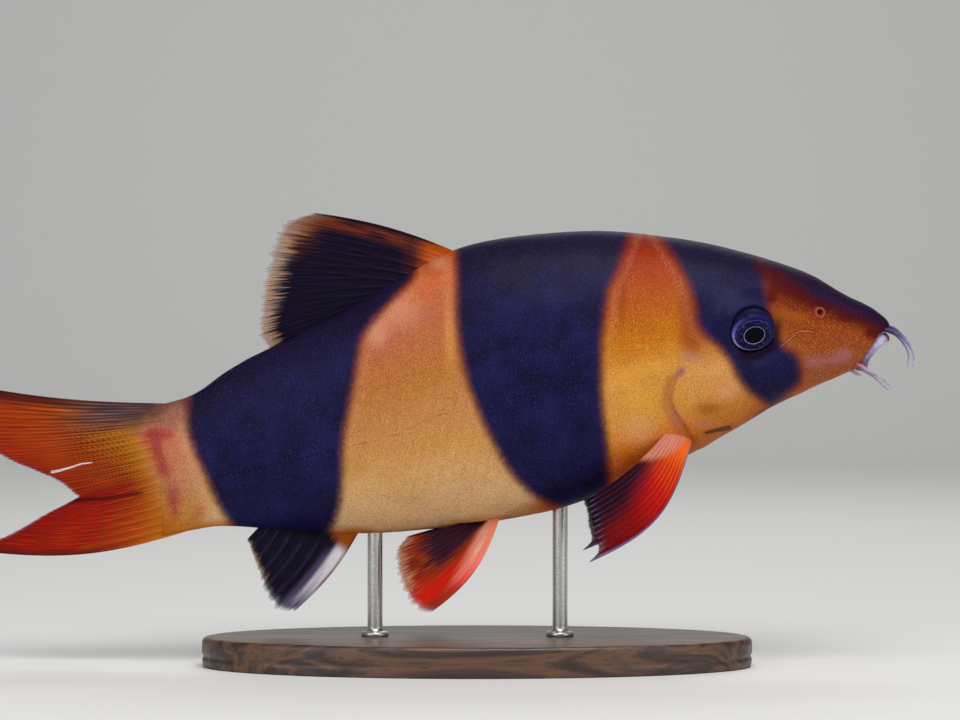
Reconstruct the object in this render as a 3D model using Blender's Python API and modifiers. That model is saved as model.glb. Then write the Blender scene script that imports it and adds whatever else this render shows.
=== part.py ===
"""Clown loach, life size, held nose-up on a plain display stand.

The fish is modelled level in its own frame, where X runs forward from the base of the tail fin, Y to the
fish's left and Z up from the body's axis. Its tail is bent a little aside, and an empty then pitches the
fish nose-up over the stand, whose underside is at Z = 0.
"""

import math
from collections import namedtuple

import bmesh
import bpy
from mathutils import Vector

MM = 0.001
GAP = 0.3 * MM  # between touching pieces

# The whole fish
PITCH = math.radians(13)  # nose-up
FISH_X = -62.0 * MM  # the base of the tail fin, from the middle of the stand
FISH_Z = 39.2 * MM
BEND_START = 36 * MM  # the tail swings aside behind this place
BEND_REACH = 80 * MM  # from there to the tips of the tail fin
BEND = 6.5 * MM  # how far aside those tips are

# Sections of the body from the tail fin to the lips, in millimetres. Each is a plane through a point of the
# back and a point of the belly. level is the height of the greatest width, from 0 at the belly to 1 at the
# back; over and under are the fullness above and below it, where 2 is an ellipse.
Section = namedtuple("Section", "back belly half_width level over under")
SECTIONS = {
    "tail base": Section((-0.1, 13.0), (0.1, -12.8), 1.7, 0.50, 1.9, 1.9),
    "narrowest": Section((8.3, 13.6), (7.6, -13.3), 3.7, 0.50, 1.9, 1.9),
    "stalk": Section((17.3, 17.0), (16.3, -15.8), 5.4, 0.48, 1.8, 1.9),
    "anal fin": Section((26.0, 19.3), (24.8, -18.2), 7.1, 0.45, 1.75, 2.0),
    "vent": Section((39.0, 22.2), (34.5, -21.0), 9.0, 0.43, 1.7, 2.1),
    "dorsal fin": Section((52.3, 26.3), (45.5, -22.9), 10.7, 0.41, 1.7, 2.2),
    "pelvic fins": Section((66.1, 30.0), (60.9, -24.7), 12.2, 0.40, 1.75, 2.3),
    "belly": Section((79.7, 29.7), (75.3, -25.0), 13.0, 0.40, 1.8, 2.35),
    "shoulder": Section((95.5, 27.0), (90.2, -22.9), 13.1, 0.40, 1.85, 2.4),
    "gill cover": Section((107.0, 23.3), (103.2, -19.9), 12.6, 0.41, 1.9, 2.4),
    "cheek": Section((118.2, 18.6), (111.9, -17.7), 11.4, 0.42, 1.9, 2.35),
    "eye": Section((127.3, 13.6), (120.7, -14.9), 9.7, 0.43, 1.95, 2.3),
    "brow": Section((134.5, 8.9), (128.4, -13.2), 7.7, 0.43, 2.0, 2.2),
    "nostril": Section((139.8, 3.8), (133.7, -12.2), 6.2, 0.43, 2.0, 2.1),
    "snout": Section((144.0, 0.5), (137.2, -11.5), 5.0, 0.44, 2.0, 2.1),
    "upper lip": Section((146.7, -2.5), (138.6, -11.2), 4.2, 0.45, 2.0, 2.0),
    "mouth rim": Section((147.4, -4.4), (138.9, -10.8), 3.6, 0.47, 2.0, 2.0),
    "mouth": Section((146.9, -5.5), (139.8, -10.6), 2.7, 0.48, 2.0, 2.0),
}
BODY = list(SECTIONS.values())
HALF_AROUND = 20  # faces from the back to the belly on one side
HEAD_RINGS = 24
TRUNK_RINGS = 18
TAIL_RINGS = 11
CUTTER_RINGS = 44

# The cut along the gill opening and the one behind the belly, counted in sections
GILL_CUT = list(SECTIONS).index("gill cover")
VENT_CUT = list(SECTIONS).index("vent") - 0.15
GILL_BULGE = 3.3 * MM  # how far the gill cover's rim swings back
GILL_BULGE_HEIGHT = -9 * MM
GILL_BULGE_SPREAD = 5.5 * MM
THROAT_SWING = 2.2 * MM  # how far the rim runs forward again under the throat
THROAT_TOP = -14 * MM
THROAT_LENGTH = 7 * MM
GILL_SPREAD = 0.8  # length of body that swings with the rim, in sections
GILL_STEP = 0.45 * MM  # the trunk is this much slimmer where it slips under the gill cover
GILL_STEP_FADE = 1.0  # in sections

# Eyes
EYE_RADIUS = 4.4 * MM
EYE_PLACE = (119.6 * MM, 1.2 * MM)
EYE_DEPTH = 0.8 * MM  # centre of the eyeball under the skin
EYE_TILT = math.radians(34)  # the eye looks down by this
CORNEA_RISE = 0.80  # height of the cornea over the ball's middle, as a share of its radius
CORNEA_FULLNESS = 2.7  # 2 is an ellipse
EYE_FOLD = 0.45 * MM  # the fold of skin round the eye
EYE_FOLD_OFFSET = 0.35 * MM

# Nostrils
NOSTRIL_PLACE = (133.6 * MM, 1.4 * MM)
NOSTRIL_RADIUS = 1.1 * MM
NOSTRIL_WALL = 0.42 * MM
NOSTRIL_RISE = 0.45 * MM
NOSTRIL_DEPTH = 1.1 * MM

# Mouth, which faces forward and down
MOUTH_TOP = (145.2 * MM, -5.9 * MM)
MOUTH_CHIN = (139.6 * MM, -11.0 * MM)
MOUTH_HALF_WIDTH = 2.9 * MM
LIP_RADIUS = 1.0 * MM
LIP_SHOWS = 0.75  # how far the lips reach over the opening, as a share of their radius
LIP_STAND = 0.3 * MM  # how far the lips stand in front of the mouth's plane
LIP_STEPS = 26
MOUTH_DEPTH = 3.2 * MM

# Barbels: the points that each passes on the fish's left, in millimetres, and its radius at root and tip
Barbel = namedtuple("Barbel", "path root_radius tip_radius")
BARBELS = {
    "rostral_inner": Barbel([(145.4, 0.8, -3.4), (148.1, 1.0, -4.9), (149.5, 1.2, -6.9), (150.1, 1.4, -9.6)],
                            0.62, 0.27),
    "rostral_outer": Barbel([(145.0, 1.7, -4.2), (147.4, 2.3, -5.5), (149.1, 2.9, -7.9),
                             (149.8, 3.4, -10.8), (149.2, 3.7, -13.2)], 0.66, 0.27),
    "maxillary": Barbel([(138.2, 2.6, -9.6), (140.3, 3.8, -11.7), (142.6, 4.7, -14.0), (144.9, 5.3, -17.2)],
                        0.66, 0.27),
    "mandibular": Barbel([(137.3, 1.4, -10.6), (138.5, 1.5, -12.0), (139.4, 1.5, -12.8)], 0.52, 0.30),
}
BARBEL_STEPS = 9

# Fins as seen from the side, in millimetres. root and tips are points that the roots and the tips of the
# rays follow, from the leading edge to the trailing one. bulge is how far the first and the last ray bend
# towards the leading edge, and sink how deep the rays start in the body. flare gives how far aside the
# middle and the tip of the first ray and of the last one are. Thicknesses are of the rays; the web stops
# short of their tips by the fringe.
Fin = namedtuple("Fin", "rays steps root tips bulge sink flare thick tip_thick fringe")
FINS = {
    "dorsal_fin": Fin(
        11, 8, [(65.4, 29.6), (57.6, 27.5), (49.8, 25.1), (42.0, 22.8)],
        [(38.6, 44.1), (34.6, 43.8), (31.2, 42.0), (29.0, 39.0), (27.4, 35.4), (26.0, 31.8), (24.6, 28.2),
         (23.6, 25.0), (23.2, 22.2), (23.8, 19.7)],
        (1.4, 0.4), 3.0, ((-0.3, -1.2), (0.4, 1.5)), 1.25, 0.42, 1.0),
    "anal_fin": Fin(
        8, 7, [(33.4, -21.4), (26.5, -18.8), (19.5, -16.9), (14.6, -15.7)],
        [(17.2, -34.0), (14.3, -32.4), (13.2, -29.6), (12.8, -26.4), (12.6, -23.0), (12.4, -19.4),
         (12.2, -17.3)],
        (1.2, 0.0), 2.6, ((0.3, 1.2), (0.0, 0.0)), 1.2, 0.42, 0.9),
    "pelvic_fin": Fin(
        8, 7, [(62.4, -23.8), (60.6, -23.7), (58.6, -23.5), (56.6, -23.3)],
        [(44.0, -39.6), (41.5, -38.2), (40.2, -35.4), (39.6, -32.0), (39.8, -28.6), (40.6, -25.9),
         (42.8, -24.0)],
        (2.6, 0.0), 1.2, ((2.4, 4.4), (1.0, 1.0)), 1.25, 0.42, 0.8),
    "pectoral_fin": Fin(
        13, 8, [(101.9, -17.4), (100.9, -16.4), (99.6, -15.5), (98.0, -14.8)],
        [(77.2, -35.8), (79.2, -34.3), (79.6, -32.4), (79.7, -30.4), (80.0, -28.6), (79.9, -26.9),
         (79.9, -25.2), (80.6, -23.6)],
        (5.0, 0.9), 1.6, ((7.6, 11.8), (5.0, 6.4)), 1.3, 0.42, 0.9),
    "tail_fin_upper": Fin(
        9, 7, [(-0.3, 12.7), (-0.3, 8.5), (-0.3, 4.3), (-0.3, 0.15)],
        [(-43.0, 29.1), (-40.6, 21.0), (-36.8, 14.7), (-32.0, 9.7), (-27.6, 6.5), (-22.8, 3.0),
         (-19.4, -1.0)],
        (-1.4, 0.0), 0.0, ((-0.8, -1.6), (0.1, 0.3)), 2.6, 0.42, 0.8),
    "tail_fin_lower": Fin(
        9, 7, [(-0.3, -0.15), (-0.3, -4.3), (-0.3, -8.5), (-0.3, -12.5)],
        [(-19.4, -1.4), (-22.6, -2.2), (-27.0, -3.2), (-31.0, -4.4), (-34.8, -5.4), (-38.8, -6.2),
         (-43.2, -7.2)],
        (0.0, -2.9), 0.0, ((0.1, 0.3), (1.2, 3.4)), 2.6, 0.42, 0.8),
}
WEB_SHARE = 0.55  # thickness of the web, as a share of its rays'
WEB_LEAST = 0.5  # in millimetres, away from the margin
MARGIN_THICK = 0.3

# Stand
BASE_LENGTH = 110 * MM
BASE_WIDTH = 50 * MM
BASE_HEIGHT = 6 * MM
BASE_BEVEL = 1.2 * MM
BASE_SIDES = 56
ROD_RADIUS = 1.5 * MM
ROD_PLACES = {"stand_rod_front": 16.6 * MM, "stand_rod_rear": -20.4 * MM}
ROD_INSERT = 4.0 * MM  # length of rod inside the belly
ROD_SEAT = 2.0 * MM  # length of rod inside the base
ROD_SIDES = 20

# Colours, roughness and metallic value of each finish
FINISHES = {
    "golden_skin": ((0.62, 0.33, 0.11, 1), 0.42, 0.0),
    "orange_fin": ((0.62, 0.16, 0.03, 1), 0.45, 0.0),
    "dark_fin": ((0.04, 0.03, 0.07, 1), 0.45, 0.0),
    "red_fin": ((0.62, 0.06, 0.03, 1), 0.45, 0.0),
    "barbel": ((0.45, 0.33, 0.40, 1), 0.45, 0.0),
    "eye": ((0.02, 0.02, 0.05, 1), 0.10, 0.0),
    "stand_base": ((0.09, 0.045, 0.025, 1), 0.40, 0.0),
    "stand_rod": ((0.62, 0.61, 0.59, 1), 0.28, 1.0),
}
SHARP_ANGLE = math.radians(40)


def clear_scene():
    for obj in list(bpy.data.objects):
        bpy.data.objects.remove(obj)


def material(name):
    """The Principled BSDF of one finish, made the first time that it is asked for."""
    if name in bpy.data.materials:
        return bpy.data.materials[name]
    colour, roughness, metallic = FINISHES[name]
    made = bpy.data.materials.new(name)
    made.use_nodes = True
    shader = made.node_tree.nodes["Principled BSDF"]
    shader.inputs["Base Color"].default_value = colour
    shader.inputs["Roughness"].default_value = roughness
    shader.inputs["Metallic"].default_value = metallic
    made.diffuse_color = colour
    return made


def collection(name):
    made = bpy.data.collections.new(name)
    bpy.context.scene.collection.children.link(made)
    return made


def add_object(name, data, group):
    made = bpy.data.objects.new(name, data)
    group.objects.link(made)
    return made


def mesh_from(name, work, group):
    mesh = bpy.data.meshes.new(name)
    work.to_mesh(mesh)
    work.free()
    return add_object(name, mesh, group)


def apply_modifiers(obj):
    """Leaves a plain mesh of the object as the viewport shows it."""
    graph = bpy.context.evaluated_depsgraph_get()
    mesh = bpy.data.meshes.new_from_object(obj.evaluated_get(graph))
    obj.modifiers.clear()
    obj.data = mesh


def boolean(obj, tools, operation):
    """Joins tools to obj or cuts them out of it, applies that and removes the tools."""
    group = collection("boolean_tools")
    for tool in tools:
        group.objects.link(tool)
    modifier = obj.modifiers.new(operation.lower(), "BOOLEAN")
    modifier.operation = operation
    modifier.operand_type = "COLLECTION"
    modifier.collection = group
    modifier.solver = "EXACT"
    apply_modifiers(obj)
    for tool in tools:
        bpy.data.objects.remove(tool)
    bpy.data.collections.remove(group)


def keep_largest(obj):
    """Keeps the closed surface that reaches furthest and removes every other scrap."""
    work = bmesh.new()
    work.from_mesh(obj.data)
    bmesh.ops.remove_doubles(work, verts=work.verts, dist=0.002 * MM)
    bmesh.ops.dissolve_degenerate(work, edges=work.edges, dist=0.002 * MM)
    left, shells = set(work.verts), []
    while left:
        shell, border = set(), [left.pop()]
        while border:
            vertex = border.pop()
            shell.add(vertex)
            found = {e.other_vert(vertex) for e in vertex.link_edges} & left
            left -= found
            border.extend(found)
        shells.append(shell)

    def reach(shell):
        sides = [max(v.co[a] for v in shell) - min(v.co[a] for v in shell) for a in range(3)]
        return sum(side**2 for side in sides)

    largest = max(shells, key=reach)
    bmesh.ops.delete(work, geom=[v for v in work.verts if v not in largest], context="VERTS")
    bmesh.ops.triangulate(work, faces=work.faces)
    work.to_mesh(obj.data)
    work.free()


def ball(name, radius, segments, rings, group):
    work = bmesh.new()
    bmesh.ops.create_uvsphere(work, u_segments=segments, v_segments=rings, radius=radius)
    return mesh_from(name, work, group)


def cone(name, low_radius, high_radius, low, high, sides, group):
    """A cone or cylinder along Z between two heights."""
    work = bmesh.new()
    bmesh.ops.create_cone(work, cap_ends=True, segments=sides, radius1=low_radius, radius2=high_radius,
                          depth=high - low)
    bmesh.ops.translate(work, verts=work.verts, vec=(0, 0, (low + high) / 2))
    return mesh_from(name, work, group)


def tube(name, path, radii, group, closed=False, fineness=2):
    """A round tube along path with a radius at each point: a beaded curve, made a closed mesh."""
    curve = bpy.data.curves.new(name, "CURVE")
    curve.dimensions = "3D"
    curve.bevel_depth = 1.0
    curve.bevel_resolution = fineness
    curve.use_fill_caps = not closed
    spline = curve.splines.new("POLY")
    spline.points.add(len(path) - 1)
    spline.use_cyclic_u = closed
    for knot, place, radius in zip(spline.points, path, radii):
        knot.co = (*place, 1)
        knot.radius = radius
    made = add_object(f"{name}_curve", curve, group)
    graph = bpy.context.evaluated_depsgraph_get()
    mesh = bpy.data.meshes.new_from_object(made.evaluated_get(graph))
    bpy.data.objects.remove(made)
    work = bmesh.new()
    work.from_mesh(mesh)
    bmesh.ops.remove_doubles(work, verts=work.verts, dist=0.001 * MM)
    bmesh.ops.recalc_face_normals(work, faces=work.faces)
    work.to_mesh(mesh)
    work.free()
    return add_object(name, mesh, group)


def turn_towards(obj, centre, direction):
    """Moves a piece that is modelled along Z to a place on the head, where it points in a direction."""
    obj.location = centre
    obj.rotation_euler = direction.to_track_quat("Z", "Y").to_euler()


def even_places(first, last, count):
    return [first + (last - first) * i / count for i in range(count + 1)]


def smooth_value(knots, values, place):
    """A smooth curve through values at knots, read at place. Values are numbers or tuples of numbers."""
    if isinstance(values[0], tuple):
        return tuple(smooth_value(knots, part, place) for part in zip(*values))
    last = len(knots) - 1
    place = min(max(place, knots[0]), knots[last])
    i = max(k for k in range(last) if knots[k] <= place)

    def slope(k):
        a, b = max(k - 1, 0), min(k + 1, last)
        return (values[b] - values[a]) / (knots[b] - knots[a])

    span = knots[i + 1] - knots[i]
    t = (place - knots[i]) / span
    start = (2 * t**3 - 3 * t**2 + 1) * values[i] + (t**3 - 2 * t**2 + t) * span * slope(i)
    end = (3 * t**2 - 2 * t**3) * values[i + 1] + (t**3 - t**2) * span * slope(i + 1)
    return start + end


def along_curve(points, share):
    """A smooth curve through points, read at a share of it from 0 to 1."""
    return smooth_value(even_places(0, 1, len(points) - 1), points, share)


def body_knots():
    """How far along the fish the middle of each section is, in millimetres."""
    knots = [0.0]
    for before, after in zip(BODY, BODY[1:]):
        middles = [[(a + b) / 2 for a, b in zip(s.back, s.belly)] for s in (before, after)]
        knots.append(knots[-1] + math.dist(*middles))
    return knots


KNOTS = body_knots()


def section_at(place, grow=0.0, slim=0.0):
    """The section at a place counted in sections, in metres. grow adds to it all round, and slim takes
    from its width."""
    whole = min(int(place), len(BODY) - 2)
    along = KNOTS[whole] + (place - whole) * (KNOTS[whole + 1] - KNOTS[whole])
    back, belly, half_width, level, over, under = (smooth_value(KNOTS, v, along) for v in zip(*BODY))
    back, belly = Vector(back) * MM, Vector(belly) * MM
    upright = (back - belly).normalized()
    return Section(back + upright * grow, belly - upright * grow, half_width * MM + grow - slim, level, over,
                   under)


def gill_swing(height):
    """How far forward of a plain cut the gill cover's rim lies, at a height over the fish's axis."""
    bulge = GILL_BULGE * math.exp(-(((height - GILL_BULGE_HEIGHT) / GILL_BULGE_SPREAD) ** 2))
    under_throat = min(max((THROAT_TOP - height) / THROAT_LENGTH, 0), 1)
    return THROAT_SWING * under_throat**2 - bulge


def ring(place, grow=0.0, slim=0.0, shift=0.0):
    """One ring of the body's skin: down the fish's left from the back to the belly, and up its right."""
    section = section_at(place, grow, slim)
    swinging = math.exp(-(((place - GILL_CUT) / GILL_SPREAD) ** 2))
    points = []
    for k in range(2 * HALF_AROUND):
        turn = math.pi * k / HALF_AROUND
        lift, out = math.cos(turn), math.sin(turn)
        fullness = section.over if lift >= 0 else section.under
        share = 1 - section.level if lift >= 0 else section.level
        height = section.level + share * math.copysign(abs(lift) ** (2 / fullness), lift)
        flat = section.belly + (section.back - section.belly) * height
        width = section.half_width * math.copysign(abs(out) ** (2 / fullness), out)
        points.append(Vector((flat.x + swinging * gill_swing(flat.y) + shift, width, flat.y)))
    return points


def loft(name, rings, group):
    """A closed body through rings of equal count, each end closed by strips from side to side."""
    work = bmesh.new()
    corners = [[work.verts.new(p) for p in points] for points in rings]
    count = len(rings[0])
    for near, far in zip(corners, corners[1:]):
        for k in range(count):
            after = (k + 1) % count
            work.faces.new((near[k], near[after], far[after], far[k]))
    for end in (corners[0], corners[-1]):
        work.faces.new((end[0], end[1], end[-1]))
        for k in range(1, count // 2 - 1):
            work.faces.new((end[k], end[k + 1], end[-k - 1], end[-k]))
        middle = count // 2
        work.faces.new((end[middle - 1], end[middle], end[middle + 1]))
    bmesh.ops.recalc_face_normals(work, faces=work.faces)
    return mesh_from(name, work, group)


def body_length(name, first, last, count, group, start_gap=0.0, slips_under=False):
    """A length of the body between two places. It starts a gap forward of its cut, and the trunk gets
    slimmer towards the gill cover that it slips under."""
    rings = []
    for i, place in enumerate(even_places(first, last, count)):
        near_gill = max(0.0, 1 - (GILL_CUT - place) / GILL_STEP_FADE) if slips_under else 0.0
        rings.append(ring(place, slim=GILL_STEP * near_gill, shift=0.0 if i else start_gap))
    return loft(name, rings, group)


def swollen_body(group):
    """The whole body made larger by the gap, which cuts the roots of the fins and barbels."""
    rings = [ring(place, grow=GAP) for place in even_places(0, len(BODY) - 1, CUTTER_RINGS)]
    rings[0] = [point - Vector((GAP, 0, 0)) for point in rings[0]]
    rings[-1] = [point + Vector((GAP, 0, -GAP)) for point in rings[-1]]
    return loft("swollen_body", rings, group)


def half_width_at(x, z):
    """Half width of the body at a point of it seen from the side."""

    def lies_ahead(place):
        section = section_at(place)
        upright = section.back - section.belly
        return (x - section.belly.x) * upright.y > (z - section.belly.y) * upright.x

    low, high = 0.0, float(len(BODY) - 1)
    for _ in range(30):
        middle = (low + high) / 2
        low, high = (middle, high) if lies_ahead(middle) else (low, middle)
    section = section_at(low)
    upright = section.back - section.belly
    height = (Vector((x, z)) - section.belly).dot(upright) / upright.length_squared
    if height >= section.level:
        away, fullness = (height - section.level) / (1 - section.level), section.over
    else:
        away, fullness = (section.level - height) / section.level, section.under
    return section.half_width * (1 - min(away, 1) ** fullness) ** (1 / fullness)


def skin_point(place, side):
    """A point of the skin and the way out of it there, from its place seen from the side."""
    x, z = place
    step = 0.5 * MM
    slope_x = (half_width_at(x + step, z) - half_width_at(x - step, z)) / (2 * step)
    slope_z = (half_width_at(x, z + step) - half_width_at(x, z - step)) / (2 * step)
    outward = Vector((-slope_x, side, -slope_z)).normalized()
    return Vector((x, side * half_width_at(x, z), z)), outward


def side_name(name, side):
    return f"{name}_left" if side > 0 else f"{name}_right"


def eye_place(side):
    """The eyeball's centre, the way that it looks and the way out of the skin there."""
    point, outward = skin_point(EYE_PLACE, side)
    looks = Vector((0, side * math.cos(EYE_TILT), -math.sin(EYE_TILT)))
    return point - outward * EYE_DEPTH, looks, outward


def eyeball(name, radius, side, group):
    """An eyeball whose front is flatter than a ball, in its place."""
    made = ball(name, radius, 22, 13, group)
    for vertex in made.data.vertices:
        rise, out = vertex.co.z / radius, vertex.co.xy.length / radius
        if rise > 0:
            vertex.co.z = radius * CORNEA_RISE * rise ** (2 / CORNEA_FULLNESS)
            vertex.co.xy *= out ** (2 / CORNEA_FULLNESS - 1) if out > 0.001 else 1
    centre, looks, _ = eye_place(side)
    turn_towards(made, centre, looks)
    return made


def eye_fold(side, group):
    centre, _, outward = eye_place(side)
    radius = EYE_RADIUS + EYE_FOLD_OFFSET
    turns = even_places(0, 2 * math.pi, 24)[:-1]
    path = [(radius * math.cos(a), radius * math.sin(a), 0) for a in turns]
    made = tube("eye_fold", path, [EYE_FOLD] * len(path), group, closed=True)
    turn_towards(made, centre + outward * EYE_DEPTH * 0.6, outward)
    return made


def nostril(side, group):
    """The fleshy rim of a nostril and the bore that opens it."""
    point, outward = skin_point(NOSTRIL_PLACE, side)
    rim = cone("nostril_rim", NOSTRIL_RADIUS, NOSTRIL_RADIUS * 0.85, -NOSTRIL_DEPTH, NOSTRIL_RISE, 12, group)
    bore_radius = NOSTRIL_RADIUS - NOSTRIL_WALL
    bore = cone("nostril_bore", bore_radius * 0.8, bore_radius, -NOSTRIL_DEPTH * 0.7, 2 * NOSTRIL_RISE, 12,
                group)
    for piece in (rim, bore):
        turn_towards(piece, point, outward)
    return rim, bore


def mouth_frame():
    """The middle of the mouth, the way up its opening, the way out of it and its half height."""
    top, chin = Vector((MOUTH_TOP[0], 0, MOUTH_TOP[1])), Vector((MOUTH_CHIN[0], 0, MOUTH_CHIN[1]))
    up = (top - chin).normalized()
    return (top + chin) / 2, up, Vector((up.z, 0, -up.x)), (top - chin).length / 2


def lips(name, radius, group):
    middle, up, out, half_height = mouth_frame()
    path = []
    for turn in even_places(0, 2 * math.pi, LIP_STEPS)[:-1]:
        across = Vector((0, MOUTH_HALF_WIDTH * math.sin(turn), 0))
        path.append(middle + up * half_height * math.cos(turn) + across + out * LIP_STAND)
    return tube(name, path, [radius] * len(path), group, closed=True)


def mouth_hollow(group):
    middle, up, out, half_height = mouth_frame()
    made = ball("mouth_hollow", 1, 20, 10, group)
    inset = LIP_SHOWS * LIP_RADIUS
    half_width, half_height = MOUTH_HALF_WIDTH - inset, half_height - inset
    for vertex in made.data.vertices:
        along, across, deep = vertex.co
        sideways = Vector((0, across * half_width, 0))
        vertex.co = middle + up * along * half_height + sideways + out * deep * MOUTH_DEPTH
    return made


def head(group):
    """The head from the gill cover to the lips, with eye sockets, nostrils and the open mouth."""
    made = body_length("head", GILL_CUT, len(BODY) - 1, HEAD_RINGS, group, start_gap=GAP)
    folds, hollows = [lips("lips", LIP_RADIUS, group)], [mouth_hollow(group)]
    for side in (1, -1):
        rim, bore = nostril(side, group)
        folds += [eye_fold(side, group), rim]
        hollows += [eyeball("eye_socket", EYE_RADIUS + GAP, side, group), bore]
    boolean(made, folds, "UNION")
    boolean(made, hollows, "DIFFERENCE")
    keep_largest(made)
    return made


def barbel(name, side, group):
    """A tapered feeler whose root is cut to the snout and the lips."""
    shape = BARBELS[name]
    shares = even_places(0, 1, BARBEL_STEPS)
    path = [Vector(along_curve(shape.path, share)) * MM for share in shares]
    for point in path:
        point.y *= side
    radii = [(shape.root_radius + (shape.tip_radius - shape.root_radius) * share) * MM for share in shares]
    made = tube(side_name(name, side), path, radii, group)
    boolean(made, [swollen_body(group), lips("swollen_lips", LIP_RADIUS + GAP, group)], "DIFFERENCE")
    keep_largest(made)
    return made


def fin_point(fin, paired, out, across):
    """A point of the fin's middle surface, out from 0 at the roots to 1 at the tips of the rays and across
    from 0 at the leading edge to 1 at the trailing one, on the fish's left."""
    root = Vector(along_curve(fin.root, across))
    tip = Vector(along_curve(fin.tips, across))
    start = root - (tip - root).normalized() * fin.sink
    forward = (tip - start).orthogonal().normalized()
    if forward.dot(Vector(fin.tips[0]) - Vector(fin.tips[-1])) < 0:
        forward.negate()
    bulge = fin.bulge[0] + (fin.bulge[1] - fin.bulge[0]) * across
    flat = start + (tip - start) * out + forward * bulge * math.sin(math.pi * out)
    middle, end = (a + (b - a) * across for a, b in zip(*fin.flare))
    aside = smooth_value([0, 0.5, 1], [0, middle, end], out)
    if paired:
        aside += half_width_at(*(root * MM)) / MM - fin.sink
    return Vector((flat.x, aside, flat.y)) * MM


def fin_body(name, side, group):
    """A fin as one thin closed body. Each ray is a ridge on both of its faces and reaches past the web."""
    fin = FINS[name]
    work = bmesh.new()
    bmesh.ops.create_grid(work, x_segments=2 * fin.rays - 2, y_segments=fin.steps, size=0.5)
    share = work.verts.layers.deform.verify()
    for vertex in work.verts:
        across, out = vertex.co.x + 0.5, vertex.co.y + 0.5
        on_ray = round(across * (2 * fin.rays - 2)) % 2 == 0
        at_margin = out > 0.999
        place = fin_point(fin, side != 0, out, across)
        thick = fin.thick + (fin.tip_thick - fin.thick) * max(out, 0) ** 0.7
        if not on_ray:
            thick = MARGIN_THICK if at_margin else max(thick * WEB_SHARE, WEB_LEAST)
        if at_margin and not on_ray:
            inward = fin_point(fin, side != 0, 0.9, across) - place
            place += inward.normalized() * fin.fringe * MM
        if side:
            place.y *= side
        vertex.co = place
        vertex[share][0] = thick / fin.thick
    bmesh.ops.triangulate(work, faces=work.faces, quad_method="ALTERNATE")
    made = mesh_from(side_name(name, side) if side else name, work, group)
    made.vertex_groups.new(name="thickness")
    thicken = made.modifiers.new("thicken", "SOLIDIFY")
    thicken.thickness = fin.thick * MM
    thicken.offset = 0
    thicken.vertex_group = "thickness"
    apply_modifiers(made)
    return made


def fin_on_body(name, side, group):
    made = fin_body(name, side, group)
    boolean(made, [swollen_body(group)], "DIFFERENCE")
    keep_largest(made)
    return made


def bend_tail(obj):
    for vertex in obj.data.vertices:
        behind = max(0.0, BEND_START - obj.location.x - vertex.co.x) / BEND_REACH
        vertex.co.y += BEND * behind**2


def pitched(x, z):
    """Where a point of the fish, seen from the side, is over the stand."""
    return (FISH_X + x * math.cos(PITCH) - z * math.sin(PITCH),
            FISH_Z + x * math.sin(PITCH) + z * math.cos(PITCH))


def belly_height(x):
    """Height of the belly over the floor at a place along the stand."""
    outline = [pitched(*section_at(place).belly) for place in even_places(0, len(BODY) - 1, 800)]
    return min(outline, key=lambda point: abs(point[0] - x))[1]


def stand_rods(trunk, group):
    """Two upright rods from the base into blind holes in the belly."""
    rods, holes = [], []
    for name, x in ROD_PLACES.items():
        top = belly_height(x) + ROD_INSERT
        rods.append(cone(name, ROD_RADIUS, ROD_RADIUS, BASE_HEIGHT - ROD_SEAT, top, ROD_SIDES, group))
        wide = ROD_RADIUS + GAP
        holes.append(cone(f"{name}_hole", wide, wide, 0, top + GAP, ROD_SIDES, group))
        rods[-1].location.x = holes[-1].location.x = x
    boolean(trunk, holes, "DIFFERENCE")
    keep_largest(trunk)
    return rods


def stand_base(group):
    """An oval plinth with a rounded edge and a blind hole for each rod."""
    made = cone("stand_base", 0.5, 0.5, 0, BASE_HEIGHT, BASE_SIDES, group)
    for vertex in made.data.vertices:
        vertex.co.x *= BASE_LENGTH
        vertex.co.y *= BASE_WIDTH
    edge = made.modifiers.new("edge", "BEVEL")
    edge.width = BASE_BEVEL
    edge.segments = 2
    edge.limit_method = "ANGLE"
    apply_modifiers(made)
    holes = []
    for name, x in ROD_PLACES.items():
        wide, low = ROD_RADIUS + GAP, BASE_HEIGHT - ROD_SEAT - GAP
        holes.append(cone(f"{name}_seat", wide, wide, low, 2 * BASE_HEIGHT, ROD_SIDES, group))
        holes[-1].location.x = x
    boolean(made, holes, "DIFFERENCE")
    keep_largest(made)
    return made


def finish(obj, name):
    obj.data.materials.clear()
    obj.data.materials.append(material(name))
    obj.data.shade_smooth()
    obj.data.set_sharp_from_angle(angle=SHARP_ANGLE)


def fish(group):
    """Every piece of the fish in its pose, each with its finish. Returns the trunk, which the rods enter."""
    trunk = body_length("trunk", VENT_CUT, GILL_CUT, TRUNK_RINGS, group, start_gap=GAP, slips_under=True)
    finishes = {trunk: "golden_skin", head(group): "golden_skin"}
    finishes[body_length("tail_stalk", 0, VENT_CUT, TAIL_RINGS, group)] = "golden_skin"
    for name, kind in (("dorsal_fin", "dark_fin"), ("anal_fin", "dark_fin"), ("tail_fin_upper", "orange_fin"),
                       ("tail_fin_lower", "orange_fin")):
        finishes[fin_on_body(name, 0, group)] = kind
    for side in (1, -1):
        for name in ("pelvic_fin", "pectoral_fin"):
            finishes[fin_on_body(name, side, group)] = "red_fin"
        for name in BARBELS:
            finishes[barbel(name, side, group)] = "barbel"
        finishes[eyeball(side_name("eye", side), EYE_RADIUS, side, group)] = "eye"
    pose = add_object("fish_pose", None, group)
    pose.location = (FISH_X, 0, FISH_Z)
    pose.rotation_euler = (0, -PITCH, 0)
    for obj, kind in finishes.items():
        bend_tail(obj)
        obj.parent = pose
        finish(obj, kind)
    return trunk


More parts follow.
